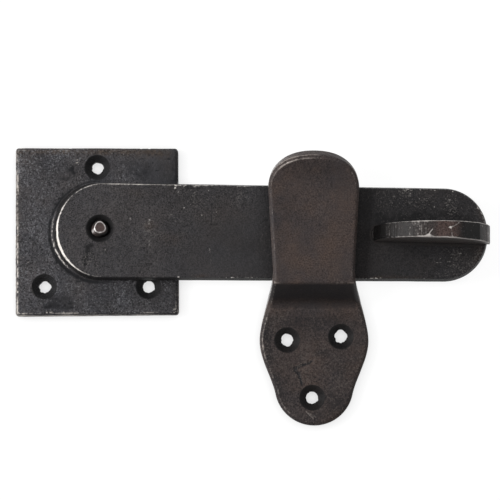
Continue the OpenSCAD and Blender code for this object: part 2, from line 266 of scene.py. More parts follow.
def rounded(corners, spacing):
    """A path through corners given as (u, v, cut, worn), as rows of (u, v, wear). Each corner is cut back by
    its cut and rounded. Wear falls off from a corner's worn value as exp(-(distance / WORN_BAND) ** 2)."""
    corners = np.array(corners, float)
    path = [corners[0, :2]]
    for before, here, after in zip(corners, corners[1:], corners[2:]):
        back = before[:2] - here[:2]
        on = after[:2] - here[:2]
        first = here[:2] + back / np.linalg.norm(back) * here[2]
        last = here[:2] + on / np.linalg.norm(on) * here[2]
        t = np.linspace(0, 1, ROUND_POINTS)[:, None]
        path.extend((1 - t) ** 2 * first + 2 * t * (1 - t) * here[:2] + t * t * last)
    path.append(corners[-1, :2])
    filled = [path[0]]
    for start, end in zip(path, path[1:]):
        parts = max(1, int(np.ceil(np.linalg.norm(end - start) / spacing)))
        filled.extend(start + (end - start) * k / parts for k in range(1, parts + 1))
    filled = np.array(filled)
    gap = np.linalg.norm(filled[:, None] - corners[None, :, :2], axis=2)
    wear = (corners[:, 3] * np.exp(-(gap / WORN_BAND) ** 2)).max(1)
    return np.column_stack([filled, wear])


# %% [markdown]
# ## A blank with holes
# The plate, the bar and the keeper all start as flat stock with an outline and countersunk holes. Booleans
# could drill them, but they leave long thin faces that catch the light badly. Here the face is a square grid
# of points instead. Cells too near an edge or a hole are left out, and the ragged border that remains is
# pulled on to a line that runs beside the true edge. From there a profile is carried along the edge: over
# the arris, down the wall and round to the back. A hole's profile is its lip, its cone and its bore. Every
# face is a small quad, so dents and pits can be real shape later.

# %% Blank
SMOOTH_REACH = 16
SPREAD_ROUNDS = 40
EDGE_SPACING = 0.15
PROFILE_SPACING = 0.4
RIM_BAND = 1.9
LIP = 0.35
RAGGED = 0.28
BORE_RIPPLE = 1.7


def follow(line, points):
    """Nearest place on a closed line for many points, as a number that counts its points, shares included."""
    span = np.roll(line, -1, 0) - np.roll(line, 1, 0)
    index = np.empty(len(points), int)
    for part in np.array_split(np.arange(len(points)), max(1, len(points) // 2000)):
        gap = points[part, None] - line[None]
        index[part] = np.argmin((gap ** 2).sum(2), 1)
    share = 2 * ((points - line[index]) * span[index]).sum(1) / (span[index] ** 2).sum(1)
    return (index + np.clip(share, -0.5, 0.5)) % len(line)


def read_at(line, place):
    """A closed line's values at places given as its point numbers, with whatever lies between them."""
    low = np.floor(place).astype(int)
    part = (place - low)[..., None]
    return line[low % len(line)] * (1 - part) + line[(low + 1) % len(line)] * part


def spread(start, count, edges):
    """Places on a closed line evened out along a border: each moves a quarter of the way towards both of its
    neighbours, over and over. Places are numbers from 0 to count, and edges name the neighbours."""
    after = np.empty(len(start), int)
    before = np.empty(len(start), int)
    after[edges[:, 0]] = edges[:, 1]
    before[edges[:, 1]] = edges[:, 0]
    moved = start.copy()
    for _ in range(SPREAD_ROUNDS):
        ahead = (moved[after] - moved + count / 2) % count - count / 2
        behind = (moved[before] - moved + count / 2) % count - count / 2
        moved = moved + (ahead + behind) / 4
    return moved % count


def outwards(line):
    """Unit normals that point out of a closed line that runs anticlockwise."""
    span = np.roll(line, -1, 0) - np.roll(line, 1, 0)
    return np.stack([span[:, 1], -span[:, 0]], 1) / np.linalg.norm(span, axis=1, keepdims=True)


def inner_line(outline, room):
    """A line beside the outline, room inside it, with a point for each of the outline's. A running mean
    rounds it, so that its corners are wide enough for several columns of quads."""
    line = outline - outwards(outline) * room[:, None]
    weights = np.cos(np.linspace(-0.5, 0.5, 2 * SMOOTH_REACH + 1) * math.pi) ** 2
    turned = [np.roll(line, k, 0) * w for k, w in zip(range(-SMOOTH_REACH, SMOOTH_REACH + 1), weights)]
    return sum(turned) / weights.sum()


def kept_cells(inner, holes, step):
    """Grid points over a line, which cells lie whole inside it and clear of the holes, and which edge is
    nearest each point: 0 for the rim, and then the holes in turn."""
    low, high = inner.min(0), inner.max(0)
    counts = np.ceil((high - low) / step).astype(int) + 1
    axes = [np.linspace(low[k], high[k], counts[k]) for k in range(2)]
    grid = np.stack(np.meshgrid(*axes, indexing="ij"), 2).reshape(-1, 2)
    place = follow(inner, grid)
    slack = [-((grid - read_at(inner, place)) * read_at(outwards(inner), place)).sum(1)]
    for hole in holes:
        ring = hole["radius"] + hole["profile"][0, 0]
        slack.append(np.linalg.norm(grid - hole["centre"], axis=1) - ring)
    slack = np.array(slack)
    good = (slack.min(0) >= 0).reshape(counts)
    cells = good[:-1, :-1] & good[1:, :-1] & good[:-1, 1:] & good[1:, 1:]
    return grid, counts, cells, slack.argmin(0)


def border(cells, ids):
    """Directed edges round the kept cells, with the metal on their left."""
    wide = np.pad(cells, 1)
    flat = [(wide[1:-1, 1:], wide[1:-1, :-1], ids[:-1], ids[1:]),
            (wide[:-1, 1:-1], wide[1:, 1:-1], ids[:, :-1], ids[:, 1:])]
    edges = []
    for left, right, start, end in flat:
        edges.append(np.stack([start, end], -1)[left & ~right])
        edges.append(np.stack([end, start], -1)[right & ~left])
    return np.concatenate(edges)


def rim_rows(outline, inner, rim, lean, starts, near):
    """Where the rim's profile lies for each border point, as (across, along). On the way out to the edge a
    point's place slides to an even spacing, and the lean fades to none before the back."""
    first = follow(inner, starts)
    slide = (spread(first, len(inner), near) - first + len(inner) / 2) % len(inner) - len(inner) / 2
    place = first[:, None] + slide[:, None] * (1 - rim[:, 0] / rim[0, 0])[None]
    base = read_at(outline, place)
    way = (read_at(inner, place) - base) / read_at((rim[0, 0] + lean)[:, None], place)
    fade = np.clip(1 - rim[:, 1] / rim[-1, 1] * 1.4, 0, 1)
    inset = rim[:, 0][None] + read_at(lean[:, None], place)[..., 0] * fade
    return base + way * inset[..., None]


def hole_rows(hole, part, starts):
    """Where a hole's profile lies for each border point, straight out from the hole's centre. The bore is
    uneven by noise round it, times the hole's own ragged millimetres or RAGGED."""
    profile = hole["profile"]
    way = starts - hole["centre"]
    way /= np.linalg.norm(way, axis=1, keepdims=True)
    way = way[:, None]
    base = hole["centre"] + way * hole["radius"]
    deepest = profile[:, 0].min()
    bore = np.clip(profile[:, 0] / deepest, 0, 1) ** 4 if deepest < 0 else 0
    angle = np.column_stack([5 * way[:, 0, :], np.full(len(way), part)])
    uneven = hole.get("ragged", RAGGED) * noise(angle, BORE_RIPPLE, 31 + part)
    inset = profile[:, 0][None] + uneven[:, None] * bore
    return base + way * inset[..., None]


def face_quads(cells, counts, size):
    """The kept cells as quads over renumbered points, which grid points those are, and the border's edges."""
    corner = np.arange(size).reshape(counts)
    front = np.stack([corner[:-1, :-1], corner[1:, :-1], corner[1:, 1:], corner[:-1, 1:]], -1)[cells]
    used, front = np.unique(front, return_inverse=True)
    ids = np.full(size, -1)
    ids[used] = np.arange(len(used))
    return front.reshape(-1, 4), used, ids[border(cells, corner)]


def strip(rows, mine, near, face_count, total):
    """The points that a border's profile adds between the front and the back, numbered on from the total,
    and the quads along it. rows are the profile at each border point, and near names its neighbours."""
    between = rows[:, 1:-1]
    number = np.empty(rows.shape[:2], int)
    number[:, 0] = mine
    number[:, -1] = mine + face_count
    number[:, 1:-1] = total + np.arange(between.shape[0] * between.shape[1]).reshape(between.shape[:2])
    a, b = number[near[:, 0]], number[near[:, 1]]
    return between.reshape(-1, 5), np.stack([a[:, :-1], a[:, 1:], b[:, 1:], b[:, :-1]], -1).reshape(-1, 4)


def blank(outline, rim, lean, holes, step):
    """A closed blank as points of (across, along, depth, wear, wall) and quads.
    rim and each hole's profile are rows of (distance in from the edge, depth, wear). lean is a further
    distance at each outline point by which the rim's front is drawn in. Wall is the depth's share on the
    rim, 0 on the faces and -1 inside a hole."""
    thick = rim[-1, 1]
    inner = inner_line(outline, rim[0, 0] + lean)
    grid, counts, cells, nearest = kept_cells(inner, holes, step)
    front, used, edges = face_quads(cells, counts, len(grid))
    flat = grid[used]
    nearest = nearest[used]
    points = [np.column_stack([flat, np.full((len(flat), 3), [depth, 0.0, 0.0])]) for depth in (0.0, thick)]
    quads = [front, front[:, ::-1] + len(flat)]
    columns = np.unique(edges)
    for part in range(len(holes) + 1):
        mine = columns[nearest[columns] == part]
        column = np.full(len(flat), -1)
        column[mine] = np.arange(len(mine))
        near = column[edges[nearest[edges[:, 0]] == part]]
        if part == 0:
            profile = rim
            lies = rim_rows(outline, inner, rim, lean, flat[mine], near)
            wall = np.clip(rim[:, 1] / thick, 0, 1)
        else:
            profile = holes[part - 1]["profile"]
            lies = hole_rows(holes[part - 1], part, flat[mine])
            wall = np.where(profile[:, 0] < LIP - 0.1, -1.0, 0.0)
        rest = np.column_stack([profile[:, 1:3], wall])
        rows = np.concatenate([lies, np.repeat(rest[None], len(mine), 0)], 2)
        points[0][mine, :2] = rows[:, 0, :2]
        points[1][mine, :2] = rows[:, -1, :2]
        added, along_it = strip(rows, mine, near, len(flat), sum(map(len, points)))
        points.append(added)
        quads.append(along_it)
    return np.concatenate(points), np.concatenate(quads)


# %% [markdown]
# ## Hammer marks, scale and wear
# Forged iron is never flat. Broad shallow waves come from the hammer, a finer roughness from the scale that
# the fire leaves, and small pits where scale was beaten in. All of it is real shape here: each point moves
# inwards along its own normal by a height read from random lattices. Only inwards, so the piece never
# grows. Then each point is compared with the average of its neighbours. Where it stands out it gathers
# more pale dust, and where it lies low it stays dark. That number goes with the mesh for the finish to read.

# %% Relief and wear
LATTICE = 48
PROUD_FULL = 0.05
PROUD_ROUNDS = 2
FINISH_READS = ("arris", "wall", "proud", "tint", "tooth")


def noise(points, size, seed):
    """Smooth noise from -1 to 1. Random values sit on a cubic lattice with cells of the given size, and a
    point takes the eight round it, each by the product of t * t * (3 - 2 * t) along the three axes."""
    table = np.random.default_rng(seed).uniform(-1, 1, (LATTICE,) * 3)
    place = points / size
    base = np.floor(place).astype(int)
    t = place - base
    t = t * t * (3 - 2 * t)
    value = np.zeros(len(points))
    for corner in np.ndindex(2, 2, 2):
        share = np.prod(np.where(corner, t, 1 - t), axis=1)
        value += share * table[tuple(((base + corner) % LATTICE).T)]
    return value


def point_normals(points, quads):
    """Unit normals at the points: the sum of the cross products of the diagonals of the quads round each."""
    a, b, c, d = (points[quads[:, k]] for k in range(4))
    face = np.cross(c - a, d - b)
    summed = [np.bincount(quads.ravel(), np.repeat(face[:, k], 4), len(points)) for k in range(3)]
    summed = np.stack(summed, 1)
    return summed / np.maximum(np.linalg.norm(summed, axis=1, keepdims=True), 1e-12)


def averaged(values, quads):
    """Each point's values replaced by the mean over its neighbours along the quads' edges."""
    start = quads.ravel()
    end = np.roll(quads, -1, 1).ravel()
    both = np.concatenate([start, end])
    other = np.concatenate([end, start])
    count = np.maximum(np.bincount(both, minlength=len(values)), 1)
    return np.stack([np.bincount(both, column[other], len(values)) / count for column in values.T], 1)


def forged(points, quads, arris, seed, wave, rough, pit, nick):
    """The points moved inwards along their normals by a sum of four heights, each given in millimetres at
    its most: hammer waves, rough scale, pits where noise is high, and nicks along the worn arrises."""
    normal = point_normals(points, quads)
    height = wave * (0.5 + 0.5 * noise(points, 11, seed))
    height += rough * (0.5 + 0.3 * noise(points, 1.1, seed + 1) + 0.2 * noise(points, 2.7, seed + 2))
    field = noise(points, 1.6, seed + 3) + 0.5 * noise(points, 9, seed + 4)
    height += pit * np.clip((field - 0.75) / 0.3, 0, 1)
    chips = noise(points, 2.2, seed + 5) + 0.6 * noise(points, 7, seed + 6)
    height += nick * arris * np.clip(chips * 1.3, 0, 1)
    return points - normal * height[:, None]


def standing(points, quads):
    """How far each point stands out over its smoothed surroundings, as a share of PROUD_FULL, -1 to 1."""
    smooth = points
    for _ in range(PROUD_ROUNDS):
        smooth = averaged(smooth, quads)
    out = ((points - smooth) * point_normals(points, quads)).sum(1)
    return np.clip(out / PROUD_FULL, -1, 1)


def spotted(points, marks):
    """The sum of soft spots given as (x, z, half width, half height, amount). Each falls off as
    exp(-d ** 2), and noise breaks its border."""
    total = np.zeros(len(points))
    ragged = 0.5 * noise(points, 0.9, 91) + 0.5 * noise(points, 3.1, 92)
    for x, z, half_x, half_z, amount in marks:
        far = ((points[:, 0] - x) / half_x) ** 2 + ((points[:, 2] - z) / half_z) ** 2
        total += amount * np.exp(-far) * np.clip(1 + 1.4 * ragged, 0, 2)
    return total


def speckled(points, marks):
    """Spots broken into grains: spotted() times noise about as fine as the mesh, with its lower half cut."""
    grains = np.clip(2.4 * noise(points, 0.62, 95) - 0.1, 0, 1)
    return spotted(points, marks) * grains


def scored(points, lines):
    """How much a point lies on scored lines, given as (x0, z0, x1, z1, half width, amount), from the
    distance to each stretch, which noise bends a little."""
    total = np.zeros(len(points))
    at = points[:, [0, 2]] + 0.35 * np.stack([noise(points, 2.3, 93), noise(points, 2.3, 94)], 1)
    for x0, z0, x1, z1, half, amount in lines:
        way = np.array([x1 - x0, z1 - z0])
        share = np.clip(((at - [x0, z0]) @ way) / (way @ way), 0, 1)
        gap = np.linalg.norm(at - [x0, z0] - share[:, None] * way, axis=1)
        total += amount * np.exp(-(gap / half) ** 2)
    return total


def piece(name, points, quads, arris, wall, tint, node, body, material, tooth=1.0):
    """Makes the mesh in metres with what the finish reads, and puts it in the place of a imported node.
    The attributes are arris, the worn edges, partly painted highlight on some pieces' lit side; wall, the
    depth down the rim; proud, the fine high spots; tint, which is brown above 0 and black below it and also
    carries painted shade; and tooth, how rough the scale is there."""
    mesh = bpy.data.meshes.new(name)
    mesh.from_pydata((points * MM).tolist(), [], quads.tolist())
    tooth = np.broadcast_to(tooth, len(points))
    for label, values in zip(FINISH_READS, (arris, wall, standing(points, quads), tint, tooth)):
        mesh.attributes.new(label, "FLOAT", "POINT").data.foreach_set("value", values.astype(np.float32))
    mesh.shade_smooth()
    mesh.materials.append(material)
    made = bpy.data.objects.new(name, mesh)
    bpy.context.scene.collection.objects.link(made)
    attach(made, body)
    if node:
        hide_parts(node)
    a, b, c, d = (points[quads[:, k]] for k in range(4))
    volume = (np.cross(b, c) + np.cross(c, d)).ravel() @ a.ravel() / 6
    print(name, len(points), "points,", len(quads), "quads,", round(volume / 1000, 2), "cm3")
    return made


# %% [markdown]
# ## The finish of forged iron
# Blackened iron is a dark skin of oxide and wax over grey metal. Three effects are shared by every piece,
# so each is a node group: `mottle` for broad patches of brown and black over the skin, `grain` for the fine
# tooth of the scale, and `rubbed` for the bright metal that shows through on arrises and rubbed marks.

# %% Shared effects


def group(name, inputs, outputs):
    """An empty node group with named sockets, and its input and output nodes."""
    tree = bpy.data.node_groups.new(name, "ShaderNodeTree")
    for label, kind, value in inputs:
        socket = tree.interface.new_socket(label, in_out="INPUT", socket_type=kind)
        if value is not None:
            socket.default_value = value
    for label, kind in outputs:
        tree.interface.new_socket(label, in_out="OUTPUT", socket_type=kind)
    return tree, tree.nodes.new("NodeGroupInput").outputs, tree.nodes.new("NodeGroupOutput")


def cloud(tree, vector, scale, detail, rough):
    """Fractal noise, from 0 to 1, with its scale in ripples a metre."""
    return put(tree, "ShaderNodeTexNoise",
               {"Vector": vector, "Scale": scale, "Detail": detail, "Roughness": rough}).outputs["Fac"]


def mottle_group():
    """Broad patches: Brown and Black masks from 0 to 1, from two clouds of noise cut by ramps."""
    tree, given, result = group(
        "mottle",
        [("Vector", "NodeSocketVector", None), ("Patch Scale", "NodeSocketFloat", 90.0)],
        [("Brown", "NodeSocketFloat"), ("Black", "NodeSocketFloat")])
    brown = cloud(tree, given["Vector"], given["Patch Scale"], 6, 0.65)
    moved = put(tree, "ShaderNodeVectorMath", {0: given["Vector"], 1: (3.1, 1.7, 2.3)}, operation="ADD")
    black = cloud(tree, moved.outputs[0], given["Patch Scale"], 5, 0.7)
    tree.links.new(ramp(tree, brown, (0.38, 0), (0.66, 1)), result.inputs["Brown"])
    tree.links.new(ramp(tree, black, (0.45, 0), (0.72, 1)), result.inputs["Black"])
    return tree


def grain_group():
    """Fine tooth of the scale: a Height for the bump, a Tone from dark to light, and two kinds of points.
    Speck marks the crests that glint, and Pock the small black pits between them."""
    tree, given, result = group(
        "grain",
        [("Vector", "NodeSocketVector", None), ("Grain Scale", "NodeSocketFloat", 1000.0),
         ("Speck Level", "NodeSocketFloat", 0.6)],
        [("Height", "NodeSocketFloat"), ("Tone", "NodeSocketFloat"), ("Speck", "NodeSocketFloat"),
         ("Pock", "NodeSocketFloat")])
    fine = cloud(tree, given["Vector"], given["Grain Scale"], 3, 0.75)
    coarse = calc(tree, "MULTIPLY", given["Grain Scale"], 0.3)
    broad = cloud(tree, given["Vector"], coarse, 3, 0.6)
    height = calc(tree, "ADD", fine, broad)
    tree.links.new(clamped(tree, "MULTIPLY", height, 0.5), result.inputs["Height"])
    tree.links.new(ramp(tree, fine, (0.37, 0), (0.63, 1)), result.inputs["Tone"])
    moved = put(tree, "ShaderNodeVectorMath", {0: given["Vector"], 1: (5.3, 0.4, 1.9)}, operation="ADD")
    dust = cloud(tree, moved.outputs[0], given["Grain Scale"], 2, 0.5)
    patchy = cloud(tree, moved.outputs[0], 70.0, 3, 0.6)
    lifted = calc(tree, "MULTIPLY", calc(tree, "SUBTRACT", patchy, 0.5), 0.35)
    dust = calc(tree, "ADD", dust, lifted)
    over = calc(tree, "SUBTRACT", dust, given["Speck Level"])
    tree.links.new(clamped(tree, "MULTIPLY", over, 14), result.inputs["Speck"])
    under = calc(tree, "SUBTRACT", 0.36, dust)
    tree.links.new(clamped(tree, "MULTIPLY", under, 14), result.inputs["Pock"])
    return tree


# The wear it reads is partly painted highlight on the lit side of some pieces.
def rubbed_group():
    """Bright metal along worn edges: a Mask from 0 to 1. Fine noise frays it, and broad noise takes it away
    in stretches and lets it swell in others."""
    tree, given, result = group(
        "rubbed",
        [("Vector", "NodeSocketVector", None), ("Wear", "NodeSocketFloat", 0.0),
         ("Start", "NodeSocketFloat", 0.35), ("Fray", "NodeSocketFloat", 0.9),
         ("Stretch", "NodeSocketFloat", 1.2)],
        [("Mask", "NodeSocketFloat")])
    total = calc(tree, "SUBTRACT", given["Wear"], given["Start"])
    for scale, share in ((900.0, given["Fray"]), (110.0, given["Stretch"])):
        field = calc(tree, "SUBTRACT", cloud(tree, given["Vector"], scale, 3, 0.6), 0.5)
        total = calc(tree, "ADD", total, calc(tree, "MULTIPLY", field, share))
    mask = clamped(tree, "MULTIPLY", total, 2.2)
    worn = clamped(tree, "MULTIPLY", given["Wear"], 6.0)
    tree.links.new(clamped(tree, "MULTIPLY", mask, worn), result.inputs["Mask"])
    return tree


MOTTLE = mottle_group()
GRAIN = grain_group()
RUBBED = rubbed_group()


def grey(value):
    """A display grey from 0 to 255 as scene light."""
    share = value / 255
    return share / 12.92 if share <= 0.04045 else ((share + 0.055) / 1.055) ** 2.4


def tone(red, green, blue):
    """A display colour as scene light, with full alpha."""
    return (grey(red), grey(green), grey(blue), 1)


def use(tree, shared, **links):
    """Places a shared effect in a material and returns its outputs."""
    made = tree.nodes.new("ShaderNodeGroup")
    made.node_tree = shared
    for key, value in links.items():
        feed(tree, made.inputs[key.replace("_", " ")], value)
    return made.outputs


def blend(tree, share, first, second, mode="MIX"):
    """Two colours mixed by a share from 0 to 1. In mode MULTIPLY the second multiplies the first so far."""
    made = put(tree, "ShaderNodeMix", data_type="RGBA", blend_type=mode)
    for number, value in ((0, share), (6, first), (7, second)):
        feed(tree, made.inputs[number], value)
    return made.outputs[2]


# %% [markdown]
# ## One recipe for every piece
# `iron` lays the effects over each other roughly as they came to the real latch: the skin with its brown and
# black patches, the fine tone of the scale, dark pits, pale dust on the crests, and bare metal where hands
# and iron have rubbed. What differs from place to place is read from the mesh, which carries it as numbers.
#
# Not all of it is iron. `fade` paints light and shade along a piece's length, `rim_light_and_shade` paints
# shade and light down its rim, and some of the dark marks further down are painted shade. On some pieces the
# rubbed edges on the side towards the light are partly painted highlight. They are painted on, so they stay
# where they are when the bar turns or the lamps move.

# %% Iron
TOOTH_REACH = 0.1
HOLLOW_DARK = 0.9
PIT_DARK = 0.6
CREST_START = 0.35
CREST_GAIN = 2.0
INSIDE_DARK = 0.85
RUBBED_METALLIC = 0.4
SKIN_SPECULAR = 0.15
BUMP_DEPTH = 0.5
INSIDE_TONE = tone(18, 18, 19)
PLAIN_DUST = tone(112, 112, 114)


def painted_light_ramp(tree, place, fade):
    """Painted light and shade along a piece: tones straight from one (x in millimetres, grey) stop to the
    next.
    """
    first, last = fade[0][0], fade[-1][0]
    across = put(tree, "ShaderNodeSeparateXYZ", {"Vector": place}).outputs["X"]
    ends = {"From Min": first * MM, "From Max": last * MM}
    share = put(tree, "ShaderNodeMapRange", {"Value": across, **ends}).outputs["Result"]
    return ramp(tree, share, *[((x - first) / (last - first), grey_there) for x, grey_there in fade])


def pitted_and_dusted(tree, colour, read, tooth, black, dust, speck_share, pock_share):
    """The colour with its pits, low spots and black marks darkened, and with pale dust on its crests."""
    pock = clamped(tree, "MULTIPLY", tooth["Pock"], clamped(tree, "MULTIPLY", read["tooth"], pock_share))
    low = clamped(tree, "MAXIMUM", pock, clamped(tree, "MULTIPLY", read["proud"], -HOLLOW_DARK))
    low = clamped(tree, "MAXIMUM", low, clamped(tree, "MULTIPLY", read["tint"], -1.0))
    colour = blend(tree, low, colour, blend(tree, PIT_DARK, black, (0, 0, 0, 1)))
    high = clamped(tree, "MULTIPLY", clamped(tree, "SUBTRACT", read["proud"], CREST_START), CREST_GAIN)
    share = clamped(tree, "MULTIPLY", read["tooth"], clamped(tree, "ADD", high, speck_share))
    return blend(tree, clamped(tree, "MULTIPLY", tooth["Speck"], share), colour, dust)


def shaded(tree, colour, tooth, edge, rough, bump):
    """The shader. Roughness and bump follow the fine tooth, and rubbed edges are partly metallic."""
    roughness = put(tree, "ShaderNodeMapRange",
                    {"Value": tooth["Tone"], "To Min": rough[0], "To Max": rough[1]}).outputs["Result"]
    bumped = put(tree, "ShaderNodeBump",
                 {"Height": tooth["Height"], "Strength": bump, "Distance": BUMP_DEPTH * MM})
    shader = put(tree, "ShaderNodeBsdfPrincipled",
                 {"Base Color": colour, "Roughness": roughness,
                  "Metallic": clamped(tree, "MULTIPLY", edge, RUBBED_METALLIC),
                  "Specular IOR Level": SKIN_SPECULAR, "Normal": bumped.outputs[0]})
    put(tree, "ShaderNodeOutputMaterial", {"Surface": shader.outputs[0]})


def iron(name, skin, brown, black, metal, patch, speck, bump, contrast, grain=1000.0, rough=(0.5, 0.62),
         start=0.35, stretch=1.2, dust=PLAIN_DUST, speck_share=0.5, pock_share=0.5, brown_share=0.6,
         black_share=0.5, rim_light_and_shade=None, fade=None, fade_on_wall=False):
    """A forged finish: a skin colour with brown and black patches, fine tone, pits, dust, and rubbed metal.
    rim_light_and_shade are ramp stops down the rim, which paint shade and light on the wall. fade is (x,
    grey) stops along the piece, in millimetres, which paint light falloff, shade and reflections, and
    fade_on_wall keeps it to where the mesh's wall is above 0."""
    made = bpy.data.materials.new(name)
    made.use_nodes = True
    tree = made.node_tree
    tree.nodes.clear()
    place = put(tree, "ShaderNodeTexCoord").outputs["Object"]
    read = {label: put(tree, "ShaderNodeAttribute", attribute_name=label).outputs["Fac"]
            for label in FINISH_READS}
    patches = use(tree, MOTTLE, Vector=place, Patch_Scale=patch)
    level = clamped(tree, "SUBTRACT", speck + TOOTH_REACH,
                    clamped(tree, "MULTIPLY", read["tooth"], TOOTH_REACH))
    tooth = use(tree, GRAIN, Vector=place, Grain_Scale=grain, Speck_Level=level)
    edge = use(tree, RUBBED, Vector=place, Wear=read["arris"], Start=start, Stretch=stretch)["Mask"]
    colour = blend(tree, clamped(tree, "MULTIPLY", patches["Brown"], brown_share), skin, brown)
    colour = blend(tree, clamped(tree, "MULTIPLY", patches["Black"], black_share), colour, black)
    colour = blend(tree, clamped(tree, "MAXIMUM", read["tint"], 0.0), colour, brown)
    if fade:
        where = read["wall"] if fade_on_wall else 1.0
        colour = blend(tree, where, colour, painted_light_ramp(tree, place, fade), "MULTIPLY")
    shade = ramp(tree, tooth["Tone"], (0.0, 1 - contrast), (1.0, 1 + contrast))
    colour = blend(tree, clamped(tree, "MINIMUM", read["tooth"], 1.0), colour, shade, "MULTIPLY")
    if rim_light_and_shade:
        colour = blend(tree, 1.0, colour, ramp(tree, read["wall"], *rim_light_and_shade), "MULTIPLY")
    colour = pitted_and_dusted(tree, colour, read, tooth, black, dust, speck_share, pock_share)
    colour = blend(tree, edge, colour, metal)
    colour = blend(tree, clamped(tree, "MULTIPLY", read["wall"], -INSIDE_DARK), colour, INSIDE_TONE)
    shaded(tree, colour, tooth, edge, rough, bump)
    return made


# %% [markdown]
# ## The pivot plate
# A square of plate about 4.5 mm thick, cut by hand, so it leans and tapers a little. Its front edge is worn
# to a bevel, and three countersunk holes take wood screws. Their places come from the imported record. Grime
# and the bar's shadow make a ragged dark band beside the bar's tail. The photograph doesn't tell the two
# apart, so the band is painted, partly as grime and partly as painted shadow, and the darkening towards the
# right is painted light falloff.

# %% Pivot plate
MOUNTS = {mount["name"]: mount for mount in frame["record"]["mounts"]}
SINK_D = 9.8
STEP = 0.38
BURR = 0.2


def mount_place(name):
    """A mount's (x, z) in millimetres."""
    return np.array(MOUNTS[name]["pos_m"])[[0, 2]] / MM


def screw_hole(centre, bore_r, thick):
    """A countersunk hole's profile: the lip on the face, the cone, the bore with its burr and the back."""
    sink = SINK_D / 2 - bore_r + BURR
    profile = rounded([(LIP, 0, 0, 0), (0, 0, 0.16, 0.2), (-sink, sink, 0.2, 0), (-sink, thick, 0.14, 0.4),
                       (LIP, thick, 0, 0)], PROFILE_SPACING)
    return {"centre": np.array(centre, float), "radius": SINK_D / 2, "profile": profile}


def tail_hole(thick):
    """The plain hole for the rivet's tail, with a wide countersink in the plate's back."""
    profile = rounded([(1.3, 0, 0, 0), (0, 0, 0.1, 0), (0, thick - TAIL_SINK, 0.1, 0),
                       (1.08, thick, 0.05, 0.2), (1.3, thick, 0, 0)], 0.5)
    return {"centre": np.zeros(2), "radius": TAIL_HOLE_R, "profile": profile}


PLATE_LEAN = 0.6
PLATE_TAPER = 0.9
PLATE_CORNER = 1.4
PLATE_BEVEL = 1.0
PLATE_BAND = 1.4
TAIL_HOLE_R = 2.55
TAIL_SINK = 1.1


def plate_outline():
    """The plate's four round corners in turn. The top leans left, and the right side is a little shorter."""
    low, high = box_mm("pivot_plate")
    middle = (low + high)[[0, 2]] / 2
    lean, taper, r = PLATE_LEAN / 2, PLATE_TAPER / 4, PLATE_CORNER
    w = (high - low)[0] / 2 - lean
    h = (high - low)[2] / 2 - taper
    corners = [((w - lean - r, h - taper - r), 0), ((-w - lean + r, h + taper - r), 90),
               ((-w + lean + r, -h - taper + r), 180), ((w + lean - r, -h + taper + r), 270)]
    return np.concatenate([middle + arc(place, r, turn, turn + 90, 12) for place, turn in corners])


# Marks are (x, z, half width, half height, amount), brown above 0 and black below it.
# The long black strip at x = 29.5 is painted shade along the plate's right edge.
PLATE_MARKS = [(-20, 31.8, 16, 1.2, 0.7), (10, 31.6, 18, 1.4, 0.8), (-34, 5, 1.2, 25, 0.5),
               (-12.2, 24.8, 1.0, 1.1, -1.8), (-11.3, 23.2, 0.9, 0.9, -1.7), (-18, -29, 6, 3, -0.7),
               (-12.5, -31, 4, 1.8, -0.7), (-21, -31.3, 1.6, 0.6, -1.1), (-20.3, -33.4, 2, 0.5, -1.2),
               (29.5, 8, 1.8, 26, -0.7), (18, 24, 9, 5, -0.35), (-14.6, 20.6, 1.6, 0.8, -0.7),
               (2, -26, 12, 3, -0.1), (26, -20, 5, 8, -0.2), (-30, 28, 4, 3, 0.3),
               (-13.8, 26.4, 0.5, 0.5, -0.9), (-2, 27, 9, 4, -0.2), (-22, 25.5, 13, 5, -0.3),
               (-9.5, 29.5, 0.6, 0.5, -0.8), (-15, -3, 2.5, 14, -0.35), (22, 30, 8, 2, 0.4)]
# Sparks are places where the skin is rubbed through in grains, given in the same way.
PLATE_SPARKS = [(-9.5, 28.0, 1.3, 1.6, 0.55), (-31, -11.4, 0.9, 0.5, 0.9), (-29.6, -13.0, 0.6, 0.5, 0.9),
                (-21.5, -33.6, 2.5, 0.7, 0.7), (-15, -33.7, 1.2, 0.5, 0.9), (-32.5, -33, 1.5, 1.2, 0.5),
                (30.4, -33, 1.2, 1.5, 0.6), (-2, -16.5, 0.5, 0.4, 0.5)]
# A fade is (x, grey) stops. NEAR_TAIL is the radius of the dark band of grime and painted shadow round the
# middle of the bar's tail, which lies TAIL_ASIDE to the left of the rivet's axis and RIVET_UP below it.
# Painted light falloff: the plate grows darker towards the right, away from the light.
PLATE_LIGHT_FALLOFF = [(-35, 1.1), (-20, 1.0), (0, 0.92), (20, 0.86), (32, 0.7)]
NEAR_TAIL = 20.6
TAIL_ASIDE = 0.3
RIVET_UP = 0.7


def plate_blank(thick):
    """The flat blank: the outline, a rim with a hand-worn bevel, three screw holes and the rivet's hole."""
    outline = even(plate_outline(), EDGE_SPACING)
    rim = rounded([(PLATE_BAND, 0, 0, 0), (PLATE_BEVEL, 0, 0.3, 0.35), (0, PLATE_BEVEL, 0.35, 0.9),
                   (0, thick, 0.2, 0.4), (PLATE_BAND, thick, 0, 0)], PROFILE_SPACING)
    low_pair = MOUNTS["plate_low_screws"]["dims"]
    half = np.array([low_pair["spacing_x_mm"] / 2, 0])
    places = [mount_place("plate_top_screw"), mount_place("plate_low_screws") - half,
              mount_place("plate_low_screws") + half]
    holes = [screw_hole(place, low_pair["hole_r_mm"], thick) for place in places]
    return blank(outline, rim, np.zeros(len(outline)), holes + [tail_hole(thick)], STEP)


